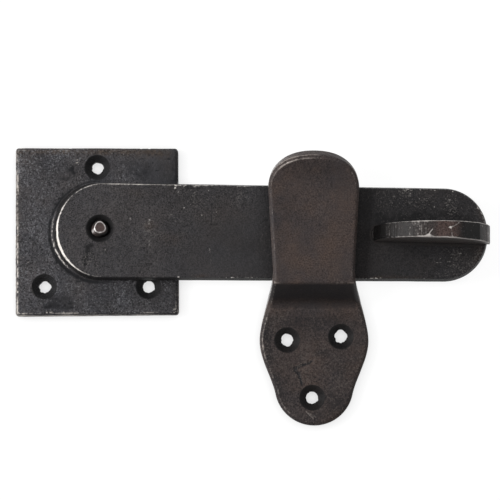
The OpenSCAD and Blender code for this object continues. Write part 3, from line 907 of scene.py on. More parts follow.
def plate_wear_and_highlight(points, across, along, edge):
    """The rim's wear, partly rubbed metal and partly painted highlight on the lit left and low edges, times a
    share that falls by 1 in 50 mm to the right and in 70 mm upwards, kept from 0.2 to 1.1. At the left the
    wear is taken to a power below 1, which widens the bright band."""
    left_and_low = np.clip(0.6 - (across - 5) / 50 - along / 70, 0.2, 1.1)
    left_and_low *= np.where(across < -30, 0.72 + 0.6 * noise(points, 0.7, 17), 1)
    return np.clip(edge, 1e-6, 1) ** (1 - 0.65 * climb(across, -29, -2)) * left_and_low


def beside_tail(points, across, along):
    """The dark band beside the bar's tail, partly grime and partly painted shadow of the bar: a narrow bell
    over the distance from the tail's middle, and grains in a wider one. Both fade out to the right, where the
    bar's straight sides begin."""
    ring = np.hypot(across + TAIL_ASIDE, along + RIVET_UP) - NEAR_TAIL
    below = climb(along, 0, -15)
    shade = -bell(ring, 0, 0.5 + 0.2 * below) * (0.95 + 0.45 * below)
    shade *= 1 + 0.5 * noise(points, 0.8, 18)
    shade -= bell(ring, 1.2, 1.1) * np.clip(3 * noise(points, 0.75, 20) - 0.9, 0, 1)
    return shade * climb(across, 6, -10)


def make_plate():
    """The blank stood up with its back at y = 0: (x, y, z) = (across, depth - thickness, along)."""
    thick = -box_mm("pivot_plate")[0][1]
    flat, quads = plate_blank(thick)
    across, along, depth, edge, wall = flat.T
    points = np.stack([across, depth - thick, along], 1)
    arris = plate_wear_and_highlight(points, across, along, edge)
    points = forged(points, quads, arris, 11, wave=0.10, rough=0.06, pit=0.16, nick=0.3)
    front = depth < thick / 2
    arris = np.maximum(arris, speckled(points, PLATE_SPARKS) * front)
    tint = (spotted(points, PLATE_MARKS) + beside_tail(points, across, along)) * front
    tooth = 1.0 - 0.6 * climb(across, 8, 12) * climb(along, 0, 10) + 0.35 * noise(points, 9, 19)
    tooth = np.clip(tooth, 0.2, 1.6) * np.clip(1 + 0.8 * tint, 0.25, 1)
    finish = iron("plate_iron", tone(71, 70.5, 74), tone(78, 69, 63), tone(38, 38, 42), tone(184, 178, 172),
                  patch=70, grain=1700, dust=tone(128, 128, 131), speck=0.6, speck_share=0.6, pock_share=1.0,
                  contrast=0.85, bump=1.0, start=0.25, stretch=1.4, brown_share=0.35, fade=PLATE_LIGHT_FALLOFF)
    return piece("forged_plate", points, quads, arris, wall, tint, "pivot_plate", "fixed",
                 finish, tooth)


make_plate()

# %% [markdown]
# ## The latch bar
# Flat bar 5 mm thick with round ends. Its sides lean in towards the face, most of all round the tail, where
# the lean shows as a wall with painted shade under the arris and a pale band of painted light lower down. It
# droops a little to where it lies in the keeper. The rivet's head sits in a wide countersink. Along the bar
# the skin darkens as painted light falloff. Under the tongue and beyond it the skin is darkened further, and
# so are two marks above the tab. That is largely painted shade, as falls there from the tongue and the tab
# when the latch is shut.

# %% Latch bar
BAR_T = 5.0
BAR_FOOT = 1.5
BAR_DRAFT = 0.8
TAIL_LEAN = 1.9
WORN_AND_LIT_MOST = 208
BAR_TAIL = 20.0
BAR_REACH = 155.3
BAR_W_TAIL = 39.4
BAR_W_TIP = 37.6
TIP_FLAT = 1.0
BAR_DROOP = 0.8
BAR_FACE = -box_mm("latch_bar")[0][1]
BAR_BORE_D = 6.1
BAR_SINK_D = 10.8
BAR_STEP = 0.42


def drooped(points):
    """The bar's own (x, y, z) turned down about the rivet."""
    turn = math.radians(BAR_DROOP)
    x, y, z = points.T
    return np.stack([x * math.cos(turn) + z * math.sin(turn), y, z * math.cos(turn) - x * math.sin(turn)], 1)


def bar_outline():
    """The tail's arc and the two arcs of the tip. Straight sides touch them, where the normal's angle has
    the cosine (difference of the radii) / (distance of the centres)."""
    tail_r = BAR_W_TAIL / 2
    tip_r = BAR_W_TIP / 2 - TIP_FLAT
    tail_x = tail_r - BAR_TAIL
    tip_x = BAR_REACH - tip_r
    reach = math.hypot(tip_x - tail_x, TIP_FLAT)
    touch = math.degrees(math.atan2(TIP_FLAT, tip_x - tail_x) + math.acos((tail_r - tip_r) / reach))
    lower = arc((tip_x, -RIVET_UP - TIP_FLAT), tip_r, -touch, 0, 90)
    upper = arc((tip_x, -RIVET_UP + TIP_FLAT), tip_r, 0, touch, 90)
    tail = arc((tail_x, -RIVET_UP), tail_r, touch, 360 - touch, 180)
    return np.concatenate([lower, upper, tail])


# Wall tones are (share down the rim, grey), painted shade under the arris and a pale band of painted light
# low on the wall, and a fade is (x, grey) stops.
BAR_WALL_LIGHT_AND_SHADE = [(0.0, 1), (0.06, 0.5), (0.16, 0.2), (0.42, 0.25), (0.56, 1.5), (0.85, 1.6), (0.95, 0.4)]
# The fade is painted light falloff along the bar, and from x = 67.5 on, under the tongue and beyond it,
# painted shade of the tongue.
BAR_LIGHT_AND_SHADE = [(-20, 1.04), (20, 0.88), (55, 0.72), (62, 0.68), (67.5, 0.45), (92, 0.45), (108, 0.5),
            (116, 0.5), (155, 0.55)]
# Marks, places of rougher scale and sparks are (x, z, half width, half height, amount).
# The two long black marks at x = 130 and 131, above the tab, are painted shade of the tab.
BAR_MARKS = [(20.6, 0.9, 2.5, 1.5, 0.8), (28, -4, 5, 3, 0.3), (-2.6, -13.6, 1.8, 4, -0.5),
             (-5, -8.5, 0.9, 1.6, -1.6), (-5.6, -12, 0.9, 1.3, -1.6), (-3.6, -7, 1.1, 0.8, -1.2),
             (-5.8, -14.4, 0.6, 0.6, -1.3), (47, 5, 8, 4, 0.2), (56, -8, 7, 5, -0.2),
             (36, 11, 6, 3, -0.35), (153, 8, 2.5, 8, 0.8), (152, -11, 3, 6, 0.8), (132, 14, 10, 2, 0.3),
             (130, -15, 12, 2.0, 0.2), (113, 6, 6, 8, -0.3), (14, 14, 8, 2, 0.2),
             (116, -20.3, 12, 0.9, 0.8), (41, -19.4, 3, 0.8, 0.6), (130, 3.8, 21, 2.2, -0.75),
             (131, 8, 19, 6, -0.4)]
BAR_TOOTH = [(40, 12, 10, 6, 0.55), (21, 0, 5, 2.5, 0.6), (30, 2, 9, 7, 0.5), (124, 12, 17, 5, 1.1),
             (143, 7, 9, 7, 0.7), (140, -12, 9, 5, 0.9), (-4, -13, 5, 4, 0.8), (57, 13, 6, 4, 0.7)]
BAR_SPARKS = [(30.3, 16.6, 0.9, 0.6, 0.75), (38.2, 15.0, 0.8, 0.5, 0.6), (45, 13.2, 0.8, 0.5, 0.4),
              (4.2, -13.6, 0.6, 0.3, 0.6), (19, 1.2, 1.8, 1.0, 0.3), (36, 16.8, 5, 0.5, 0.35),
              (126, 15.0, 4, 0.8, 0.45), (134, 14.6, 3, 0.7, 0.5), (109, -20.5, 5, 0.4, 0.8),
              (119, -20.7, 3, 0.3, 0.4), (52, -20.0, 3, 0.3, 0.6), (60, -20.1, 2.5, 0.3, 0.6),
              (32, -19.7, 1.5, 0.3, 0.5), (151.5, 9, 1, 3.0, 0.3)]
# Glints are single bright specks in the same form. Scores are (x0, z0, x1, z1, half width, amount).
BAR_GLINTS = [(132.6, 14.7, 0.35, 0.35, 0.42), (137.5, 14.5, 0.3, 0.4, 0.4),
              (141.2, 14.5, 0.4, 0.3, 0.36), (130.6, 12.6, 0.4, 0.3, 0.4), (128.0, 11.6, 0.4, 0.3, 0.42),
              (135.2, 12.8, 0.3, 0.35, 0.36), (133.8, 8.2, 0.4, 0.3, 0.34), (138.9, 9.0, 0.3, 0.3, 0.3),
              (142.1, 6.1, 0.35, 0.3, 0.34), (140.1, 11.0, 0.3, 0.3, 0.3), (144.7, 7.8, 0.3, 0.3, 0.36),
              (136.6, 11.5, 0.3, 0.3, 0.34), (147.3, 9.8, 0.3, 0.3, 0.36), (124.4, 13.8, 0.35, 0.3, 0.35),
              (2.2, -8.8, 0.5, 0.35, 0.45), (37.9, 14.7, 0.45, 0.35, 0.45), (43.6, 15.3, 0.3, 0.3, 0.34),
              (48.3, 16.6, 0.3, 0.3, 0.34), (46.9, 6.5, 0.3, 0.3, 0.36), (28.5, 5.3, 0.3, 0.3, 0.34),
              (17.8, 1.9, 0.4, 0.3, 0.42), (20.2, 3.3, 0.4, 0.3, 0.31), (12.3, 3.9, 0.35, 0.3, 0.28),
              (13.1, -1.9, 0.35, 0.3, 0.38), (40.9, 5.3, 0.3, 0.3, 0.27), (36.2, 9.6, 0.3, 0.3, 0.34),
              (33.9, 8.2, 0.3, 0.3, 0.27), (31.5, 14.6, 0.3, 0.3, 0.34)]
BAR_SCORES = [(136, -12.5, 142, -12.2, 0.2, 0.19), (133, -14.2, 140, -13.9, 0.2, 0.17),
              (138, -15.4, 144, -15.1, 0.2, 0.19), (140, -10.8, 146, -10.4, 0.2, 0.18),
              (44, -8, 44.6, -15, 0.2, 0.17), (20, -4, 20.2, -9, 0.2, 0.17)]


def bar_swing(across, along):
    """The angle round the middle of the tail in degrees: 90 at the top, 180 at the left, 270 below."""
    return np.degrees(np.arctan2(along + RIVET_UP, across + TAIL_ASIDE)) % 360


def bar_wear_and_highlight(across, along):
    """How worn and lit the bar's arris is round its outline: most at the tail's left and lower left, where it
    is partly painted highlight from the light on that side, some along the top, and little along the bottom,
    where it rubs on nothing. The tail's is a bell over the angle."""
    swing = bar_swing(across, along)
    tail = 0.36 + 1.2 * bell(swing, WORN_AND_LIT_MOST, np.where(swing < WORN_AND_LIT_MOST, 40, 27))
    near_top = 0.42 + 0.2 * bell(across, 12, 12)
    straight = np.where(along > 0, np.where(across > 60, 0.2, near_top), 0.1)
    share = climb(across, -4, 8)
    return tail * (1 - share) + straight * share


def bar_wall(across, along, wall):
    """The number that the wall's tones of painted shade and light are read by: the depth down the rim in full
    on the tail's leaning wall, less than half of it along the bottom, and almost none along the top and round
    the tip."""
    swing = bar_swing(across, along)
    leaning = climb(swing, 147, 15) * climb(swing, 252, -14)
    top = climb(along, 0, 8) * climb(across, 0, 10)
    shaded = (0.45 + 0.55 * leaning) * (1 - 0.95 * np.maximum(top, climb(across, 135, 8)))
    return np.where(wall > 0, wall * shaded, wall)


def bar_tooth(points, across, along):
    """How rough the scale is: less and less along the bar, more in spots and in a band inside the lower
    side of the tip, and less again round x = 50, except near the top."""
    tip_ring = bell(np.hypot(across - 137.5, along + 1.7), 15.5, 2.2)
    tip_ring *= climb(across, 125, 10) * climb(along, -3, -4)
    tooth = np.clip(1.1 - 0.3 * (across / 60) + spotted(points, BAR_TOOTH) + 1.1 * tip_ring, 0.8, 2.4)
    return tooth - 0.35 * bell(across, 50, 22) * np.clip(1 - along / 14, 0, 1)


def bar_blank():
    """The flat blank. Its rim leans in by TAIL_LEAN times how far the outline's normal points left, and its
    bore is round, because the rivet turns in it."""
    outline = even(bar_outline(), EDGE_SPACING)
    lean = TAIL_LEAN * np.clip(-outwards(outline)[:, 0], 0, 1)
    rim = rounded([(RIM_BAND, 0, 0, 0), (BAR_DRAFT, 0, 0.3, 1), (0, BAR_T - BAR_FOOT, 0.4, 0),
                   (0, BAR_T, 0.25, 0.1), (RIM_BAND, BAR_T, 0, 0)], 0.3)
    sink = (BAR_SINK_D - BAR_BORE_D) / 2
    hole = {"centre": np.zeros(2), "radius": BAR_SINK_D / 2, "ragged": 0,
            "profile": rounded([(LIP, 0, 0, 0), (0, 0, 0.16, 0), (-sink, sink, 0.2, 0),
                                (-sink, BAR_T, 0.14, 0), (LIP, BAR_T, 0, 0)], PROFILE_SPACING)}
    return blank(outline, rim, lean, [hole], BAR_STEP)


def make_bar():
    """The blank stood up and turned down by its droop. At the tail's lower left the wear is taken to a power
    below 1, which widens the bright band, and a second, broken band lies low on the wall there. Both bands
    are partly painted highlight."""
    flat, quads = bar_blank()
    across, along, depth, edge, wall = flat.T
    points = drooped(np.stack([across, depth - BAR_FACE, along], 1))
    at_tail = bell(bar_swing(across, along), WORN_AND_LIT_MOST, 40, 4)
    arris = np.clip(edge, 1e-6, 1) ** (1 - 0.5 * at_tail) * bar_wear_and_highlight(across, along)
    points = forged(points, quads, arris, 23, wave=0.10, rough=0.05, pit=0.12, nick=0.2)
    front = depth < 0.5
    broken = np.clip(0.7 + 1.7 * noise(points, 0.7, 29) + 0.5 * noise(points, 3, 30), 0, 1.8)
    low_band = bell(wall, 0.66, 0.17) * at_tail * 0.5 * broken
    drawn = speckled(points, BAR_SPARKS) + scored(points, BAR_SCORES) + spotted(points, BAR_GLINTS)
    arris = np.maximum(np.maximum(arris, drawn * front), low_band)
    tint = spotted(points, BAR_MARKS) * front
    finish = iron("bar_iron", tone(66, 64.4, 66.4), tone(76, 67, 62), tone(36, 35, 37), tone(232, 226, 220),
                  patch=60, grain=1800, dust=tone(106, 102, 100), speck=0.62, speck_share=0.35,
                  pock_share=0.9, contrast=0.65, bump=0.7, start=0.2, stretch=0.9, brown_share=0.25,
                  rim_light_and_shade=BAR_WALL_LIGHT_AND_SHADE, fade=BAR_LIGHT_AND_SHADE)
    return piece("forged_bar", points, quads, arris, bar_wall(across, along, wall), tint, "latch_bar", "bar",
                 finish, bar_tooth(points, across, along))


make_bar()

# %% [markdown]
# ## The keeper
# One strap, forged flat, drilled and then bent. So it is made as the smith makes it: a flat blank in its own
# two directions, which is then bent by reading where each height lies on the strap's front and back lines.
# The foot's rougher scale and the rubbed, flared tip are told apart by where a point lies along the strap.

# %% Keeper
KEEPER_BEVEL = 1.0
TONGUE_T = 5.0
FOOT_T = 4.5
THROAT = 1.0
CRANK = 56.0
TONGUE_W = 36.4
NECK_W = 32.6
TONGUE_RISE = 34.8
ARCH_LEN = 14.6
ARCH_POWER = 2.2
FLARE_R = 30.0
FLARE_ANGLE = 34.0
THROAT_R = 2.0
HEEL_R = 4.0
CORNER_R = 0.8
TOE_R = 3.2
SHOULDER_DROP = 22.2
LOBE_R = 15.8
LOBE_DROP = 18.2
LOBE_TURN = 12.0

keeper_low, keeper_high = box_mm("keeper")
KEEPER_X = (keeper_low + keeper_high)[0] / 2
SHOULDER_W = (keeper_high - keeper_low)[0]
LOBE_Z = keeper_low[2] + LOBE_R
SHOULDER_Z = LOBE_Z + LOBE_DROP
slope = math.tan(math.radians(CRANK))
half_turn = math.tan(math.radians(CRANK / 2))
tongue_back = BAR_FACE + THROAT
tongue_face = tongue_back + TONGUE_T
OUTER = np.array([tongue_face, SHOULDER_Z + SHOULDER_DROP])
INNER = np.array([tongue_back, OUTER[1] + TONGUE_T * half_turn])
HEEL = np.array([0, INNER[1] - tongue_back / slope])
TOE = np.array([FOOT_T, OUTER[1] - (tongue_face - FOOT_T) / slope])
FLARE_Z = OUTER[1] + TONGUE_RISE
TIP_S = FLARE_Z + FLARE_R * math.radians(FLARE_ANGLE)


def strap_line(low, low_r, high, high_r):
    """The two bends of one face of the strap as (distance from the back, height): an arc out of the foot
    into the crank, and an arc out of the crank into the tongue, both through the crank's angle."""
    swing = np.radians(np.linspace(0, CRANK, 13))
    centre = low + np.array([low_r, -low_r * half_turn])
    out = centre + low_r * np.stack([-np.cos(swing), np.sin(swing)], 1)
    swing = swing[::-1]
    centre = high + np.array([-high_r, high_r * half_turn])
    up = centre + high_r * np.stack([np.cos(swing), -np.sin(swing)], 1)
    return out, up


def strap_face(s, low, low_r, high, high_r, flare_r):
    """Where stations lie on one face of the strap, as (distance from the back, height). Stations are about
    the front's heights up to FLARE_Z, with straight lines between marks, and the flare's arc length above."""
    out, up = strap_line(low, low_r, high, high_r)
    marks = np.concatenate([[-200, SHOULDER_Z], STATION_OUT, STATION_UP, [FLARE_Z]])
    path = np.concatenate([[[low[0], -200], [low[0], SHOULDER_Z]], out, up, [[high[0], FLARE_Z]]])
    straight = np.stack([np.interp(s, marks, path[:, k]) for k in range(2)], 1)
    turn = (s - FLARE_Z) / FLARE_R
    centre = tongue_back + TONGUE_T / 2 + FLARE_R
    flare = np.stack([centre - flare_r * np.cos(turn), FLARE_Z + flare_r * np.sin(turn)], 1)
    return np.where((s < FLARE_Z)[:, None], straight, flare)


front_out, front_up = strap_line(TOE, TOE_R, OUTER, CORNER_R)
STATION_OUT = np.linspace(front_out[0, 1], front_out[-1, 1], len(front_out))
STATION_UP = np.linspace(front_up[0, 1], front_up[-1, 1], len(front_up))


def keeper_outline():
    """Half width against station: the round lobe, a curve up to the shoulders, a curve in to the neck, and
    the arch of the tip, a superellipse. The other half mirrors it."""
    neck_z = STATION_UP[-1] + 3
    lobe = arc((0, LOBE_Z), LOBE_R, -90, -LOBE_TURN, 40)
    on = 7 * np.array([math.sin(math.radians(LOBE_TURN)), math.cos(math.radians(LOBE_TURN))])
    shoulder = np.array([SHOULDER_W / 2, SHOULDER_Z])
    neck = np.array([NECK_W / 2, neck_z])
    waist = cubic(lobe[-1], lobe[-1] + on, shoulder - [0, 7.5], shoulder, 40)
    throat = cubic(shoulder, shoulder + [0, 8], neck + [0.2, -9], neck, 50)
    swing = np.radians(np.linspace(0, 90, 60))
    arch = np.stack([TONGUE_W / 2 * np.cos(swing) ** (2 / ARCH_POWER),
                     TIP_S - ARCH_LEN * (1 - np.sin(swing) ** (2 / ARCH_POWER))], 1)
    right = np.concatenate([lobe, waist[1:], throat[1:], arch])
    left = right[-2:0:-1] * [-1, 1]
    return np.concatenate([right, left])


# Marks are (x, z, half width, half height, amount). Scores, which are cut in, and scratches, which are
# bright, are (x0, z0, x1, z1, half width, amount).
KEEPER_MARKS = [(74, 4, 6, 8, -0.25), (92, -6, 6, 9, 0.5), (80, -14, 8, 5, 0.45), (97, 10, 6, 7, 0.35),
                (84, 22, 9, 3, -0.5), (73, -12, 3, 6, -0.3), (66.5, -50, 2.2, 12, -0.7),
                (70, -66, 2.5, 8, -0.6), (96, -70, 5, 5, -0.4), (84, -56, 4, 8, 0.4),
                (97, -56, 5, 5, -0.1), (84, -38, 14, 4, -0.3), (88, -50, 3, 2, -0.4)]
KEEPER_SCORES = [(77.6, -56.2, 85.2, -53.2, 0.42, 1.0), (79.4, -58, 80.6, -62.2, 0.4, 1.0),
                 (77.6, -56.2, 79.4, -58, 0.4, 0.7)]
KEEPER_SCRATCHES = [(81.2, -71.6, 85.4, -76.0, 0.22, 0.55), (83.4, -73.4, 86.2, -75.4, 0.2, 0.42)]
SCORE_DEPTH = 0.22


def keeper_wear_and_highlight(across, along):
    """How worn the keeper's arris is, partly painted highlight on the lit left: most at the upper left of the
    tip, then down both sides of the tongue, and least round the foot, where the left is still more rubbed and
    lit than the right."""
    aside = across - KEEPER_X
    tip = climb(along, 8, 10)
    tongue = climb(along, STATION_UP[-1], 2)
    at_tip = 0.35 + 0.55 * bell(aside, -9, 8)
    foot = 0.27 - 0.006 * aside
    return foot * (1 - tongue) + tongue * ((1 - tip) * 0.36 + tip * at_tip)


def bent(across, along, depth):
    """The blank bent: a point lies at its station, between the front face's place and the back face's, by
    its depth's share of the thickness."""
    front = strap_face(along, TOE, TOE_R, OUTER, CORNER_R, FLARE_R - TONGUE_T / 2)
    back = strap_face(along, HEEL, HEEL_R, INNER, THROAT_R, FLARE_R + TONGUE_T / 2)
    strap = front + (back - front) * (depth / TONGUE_T)[:, None]
    return np.stack([across, -strap[:, 0], strap[:, 1]], 1)


def keeper_blank():
    """The flat blank, with a bevel round its whole front edge and three screw holes."""
    outline = even(keeper_outline(), EDGE_SPACING) + [KEEPER_X, 0]
    rim = rounded([(RIM_BAND, 0, 0, 0), (KEEPER_BEVEL + 0.2, 0, 0.5, 0.8), (0, KEEPER_BEVEL, 0.4, 0.8),
                   (0, TONGUE_T, 0.25, 0.3), (RIM_BAND, TONGUE_T, 0, 0)], PROFILE_SPACING)
    names = ["keeper_left_screw", "keeper_right_screw", "keeper_low_screw"]
    holes = [screw_hole(mount_place(name), MOUNTS[name]["dims"]["r_mm"], TONGUE_T) for name in names]
    return blank(outline, rim, np.zeros(len(outline)), holes, STEP)


def make_keeper():
    """The bent blank. Scores are cut into its foot, the upper bend is rubbed, most towards the sides, and the
    crank, which looks down and lies in shade, is blackened as painted shade. The foot is blackened a little."""
    flat, quads = keeper_blank()
    across, along, depth, edge, wall = flat.T
    points = bent(across, along, depth)
    on_front = depth < 0.5
    crease = scored(points, KEEPER_SCORES) * on_front
    points[:, 1] += SCORE_DEPTH * crease
    arris = edge * keeper_wear_and_highlight(across, along)
    points = forged(points, quads, arris, 37, wave=0.14, rough=0.03, pit=0.06, nick=0.12)
    from_side = np.clip(1 - (NECK_W / 2 - np.abs(across - KEEPER_X)) / 4, 0, 1)
    on_bend = bell(along, STATION_UP.mean(), 0.7) * (0.2 + 0.5 * from_side ** 2)
    arris = np.maximum(arris, np.maximum(on_bend, scored(points, KEEPER_SCRATCHES)) * on_front)
    shaded_crank = climb(along - STATION_OUT[-1], -1.5, 3) * climb(along, STATION_UP[0], -0.6)
    on_foot = climb(along, STATION_OUT[0], -4)
    # Painted shade: the crank is blackened where it looks down.
    tint = spotted(points, KEEPER_MARKS) * on_front - 1.5 * crease - 0.85 * shaded_crank - 0.3 * on_foot
    tooth = 0.9 + 1.1 * on_foot + 0.8 * climb(along - TIP_S, -4, 3) + 0.4 * noise(points, 8, 39)
    finish = iron("keeper_iron", tone(72, 64.4, 63), tone(80, 66.5, 60), tone(50, 48, 51),
                  tone(158, 149, 143), patch=85, grain=1700, rough=(0.42, 0.52), dust=tone(98, 90, 86),
                  speck=0.66, speck_share=0.25, pock_share=0.6, contrast=0.6, bump=0.5, start=0.25,
                  stretch=1.1, brown_share=0.75, black_share=0.7)
    return piece("forged_keeper", points, quads, arris, wall, tint, "keeper", "fixed", finish,
                 tooth)


make_keeper()

# %% [markdown]
# ## The lift tab
# A half disc of thick plate welded upright on the bar. The photograph looks at its ground rim. Its surface is
# a closed profile carried along the half circle: at each angle the profile goes up one side, over two bevels
# and the rim, and down the other. The rim was ground by hand in short flats, and each flat is a plane that
# cuts the circle a little. The rim's light and dark stretches are painted reflections in the ground flats,
# and its dark near end is painted shade. They are painted as a fade, not brought out by lamps and gloss.

# %% Lift tab
TAB_FROM_TIP = 22.6
TAB_R = 23.3
TAB_T_NEAR = 5.8
TAB_T_FAR = 7.2
TAB_DOWN = 0.4
TAB_BEVEL = 0.5
TAB_SET_IN = 0.02
TAB_STEPS = 460
STREAKED_FROM = math.radians(141)
TAB_X = BAR_REACH - TAB_FROM_TIP


def on_bar(across, height, out):
    """Points given along the bar, up from the tab's middle and out from the bar's face, put in place."""
    return drooped(np.stack([across, -(BAR_FACE + out), -RIVET_UP - TAB_DOWN + height], 1))


def half_thick(across):
    """Half the tab's thickness, which grows towards the tip."""
    share = (across - (TAB_X - TAB_R)) / (2 * TAB_R)
    return (TAB_T_NEAR + (TAB_T_FAR - TAB_T_NEAR) * share) / 2


def closed_grid(rows, columns):
    """Quads of a grid that closes on itself along its columns."""
    number = np.arange(rows * columns).reshape(rows, columns)
    right = np.roll(number, -1, 1)
    return np.stack([number[:-1], right[:-1], right[1:], number[1:]], -1).reshape(-1, 4)


def welded(points, quads, values):
    """Joins points that lie together, at seams and poles, and drops the faces that vanish."""
    key = np.round(points * 1000).astype(np.int64)
    _, first, again = np.unique(key, axis=0, return_index=True, return_inverse=True)
    again = again.ravel()
    quads = again[quads]
    same = (quads == np.roll(quads, -1, 1)).sum(1)
    return points[first], quads[same < 2], values[first]


# Where the rim's flats meet, as degrees round it from the near end, and how each ridge leans.
RIDGES = np.array([-4, 4, 12, 20, 28, 36, 44, 52, 60, 68, 76, 87, 105, 117, 141, 158, 170, 177, 183.0])
RIDGE_TILT = np.array([0, 0, 0, 0, 0, 0, 0, 0, 0, 0, 1, 3.2, 1.2, 1.5, 0, 0, 0, 0, 0])
# The rim's fade as (x, grey), painted reflections along the rim and painted shade at its near end, sparks as
# (x, height, half width, half height, amount), and scores as (x0, height0, x1, height1, half width, amount).
TAB_PAINTED_LIGHT = [(109, 0.045), (112.9, 0.05), (114.4, 0.14), (116.4, 0.32), (118.8, 0.5), (124, 0.8),
            (134, 1.0), (140.8, 1.0), (142.3, 0.45), (143.8, 0.12), (150.2, 0.1), (151.0, 0.22),
            (152.0, 0.6), (153.0, 1.2), (156, 1.6)]
TAB_SPARKS = [(130.3, -2.4, 0.6, 0.5, 0.9), (138.6, 0.6, 0.5, 0.45, 0.8), (139.6, -3.1, 1.6, 0.4, 0.5)]
TAB_SCORES = [(125.6, -3.1, 130.3, -2.4, 0.24, 0.6), (130.3, -2.4, 131.9, 0.1, 0.2, 0.5),
              (130.3, -2.4, 133.1, -3.1, 0.24, 0.5), (134.2, -0.4, 138.6, 0.6, 0.2, 0.22),
              (138.6, 0.6, 142.1, 2.6, 0.22, 0.55), (138.6, 0.6, 139.3, -2.6, 0.2, 0.32)]


def rim_radius(turn, height):
    """The rim's radius, as the smallest of the flats' planes. A flat's own reach makes its ridges lie on the
    circle, and a ridge leans by its tilt in degrees for each millimetre of height."""
    degrees = np.degrees(turn)
    ridge = RIDGES + RIDGE_TILT * height[..., None]
    middle = (ridge[..., 1:] + ridge[..., :-1]) / 2
    half = np.radians(ridge[..., 1:] - ridge[..., :-1]) / 2
    away = np.radians(np.clip(degrees[..., None] - middle, -60, 60))
    planes = TAB_R * np.cos(half) / np.cos(away)
    inside = (degrees[..., None] >= ridge[..., :-1]) & (degrees[..., None] < ridge[..., 1:])
    return np.where(inside, planes, TAB_R).min(-1)


def tab_profile():
    """The section as (side, share): side runs from -1 to 1 through the thickness and share from 0 at the
    root to 1 on the rim. It goes up one side, over the rim, down the other and back along the root."""
    up = np.linspace(0, 1, 46)
    over = np.linspace(-1, 1, 28)
    side = np.stack([np.full(len(up), -1.0), up], 1)
    return np.concatenate([side, np.stack([over, np.ones(len(over))], 1)[1:-1],
                           side[::-1] * [-1, 1], np.stack([-over, np.zeros(len(over))], 1)[1:-1]])


def ground_marks(turn, height):
    """The wheel's marks, from -1 to 1, as noise at places that are squeezed to make it long: across the rim
    on its near half, and along it beyond STREAKED_FROM. Also those places, and how far they are ground."""
    along = turn * TAB_R
    marks = np.stack([along.ravel(), height.ravel() / 12, 0 * along.ravel()], 1)
    ground = bell(np.degrees(turn), 58, 27, 4)
    grind = noise(marks, 0.34, 83).reshape(along.shape) * ground
    streaks = np.stack([along.ravel() / 10, height.ravel(), 0 * along.ravel()], 1)
    grind += 0.8 * noise(streaks, 0.5, 78).reshape(along.shape) * (turn > STREAKED_FROM)
    return grind, marks, ground


def tab_wear(turn, height, half, across, outer, grind, marks):
    """The rubbed metal on the rim: a bell along its two edges, and what the wheel left on its crests."""
    bright = np.clip(0.5 + 0.5 * np.sin((turn - 0.5) * 1.1), 0.3, 1) * climb(across, 112, 6)
    on_edge = bell(np.abs(height), half, 0.28) * outer * bright * 0.8
    rubbing = 0.17 + 0.1 * bell(np.degrees(turn), 68, 16) + 0.14 * (turn > STREAKED_FROM)
    rubbing *= 1 + 0.4 * noise(marks * [1, 2, 1], 0.5, 79).reshape(turn.shape)
    return np.maximum(on_edge, np.minimum(np.clip(grind * 1.8, 0, 1) * rubbing, 0.19) * outer)


def make_tab():
    """The profile carried round the half circle: across = TAB_X - radius * cos(turn), and out from the bar
    = radius * sin(turn) * share. The bevels and the wheel's marks are taken off the radius first."""
    side, share = tab_profile().T
    turn = np.radians(np.linspace(0, 180, TAB_STEPS))[:, None] * np.ones((1, len(side)))
    half = half_thick(TAB_X - TAB_R * np.cos(turn))
    height = side[None] * half
    worn = np.clip((np.abs(height) - (half - TAB_BEVEL)) / TAB_BEVEL, 0, 1)
    outer = np.exp(-((1 - share[None]) * 14) ** 2)
    grind, marks, ground = ground_marks(turn, height)
    radius = rim_radius(turn, height) - TAB_SET_IN - 0.4 * TAB_BEVEL * worn ** 2
    radius = radius - (0.03 + 0.03 * grind) * outer
    reach = radius * np.sin(turn) * share[None]
    across = TAB_X - radius * np.cos(turn)
    points = on_bar(across.ravel(), height.ravel(), reach.ravel())
    quads = closed_grid(TAB_STEPS, len(side))[:, ::-1]
    arris = tab_wear(turn, height, half, across, outer, grind, marks)
    rim_share = outer.repeat(TAB_STEPS, 0).ravel()
    flat = np.stack([across.ravel(), 0 * across.ravel(), height.ravel()], 1)
    drawn = spotted(flat, TAB_SPARKS) + scored(flat, TAB_SCORES)
    arris = np.maximum(arris.ravel(), drawn * rim_share)
    brown = 0.9 * bell(across, 138.3, 5.5, 6)
    tint = ((brown - np.clip(-grind * 1.5, 0, 1) * 0.5 * ground) * outer).ravel()
    points, quads, rows = welded(points, quads, np.column_stack([arris, tint, rim_share]))
    arris, tint, wall = rows.T
    points = forged(points, quads, arris, 51, wave=0.05, rough=0.02, pit=0.03, nick=0.08)
    finish = iron("tab_iron", tone(63, 60, 59), tone(88, 72, 68), tone(38, 37, 38), tone(208, 202, 197),
                  patch=110, grain=1800, rough=(0.4, 0.5), speck=0.64, speck_share=0.3, pock_share=0.5,
                  bump=0.4, contrast=0.6, start=0.2, stretch=0.8, brown_share=0.3, fade=TAB_PAINTED_LIGHT,
                  fade_on_wall=True)
    return piece("forged_tab", points, quads, arris, wall, tint, "lift_tab", "bar", finish)


make_tab()

# %% [markdown]
# ## The weld bead
# The tab's root is joined by a fillet of weld, laid along one side, round the near end and back along the
# other. It is a small hollow profile carried along that path, and it swells and shrinks in ripples, as the
# arc was moved on step by step.

# %% Weld bead
BEAD = 1.1
BEAD_SET_IN = 0.85
BEAD_PITCH = 1.4
BEAD_TAPER = 3.0


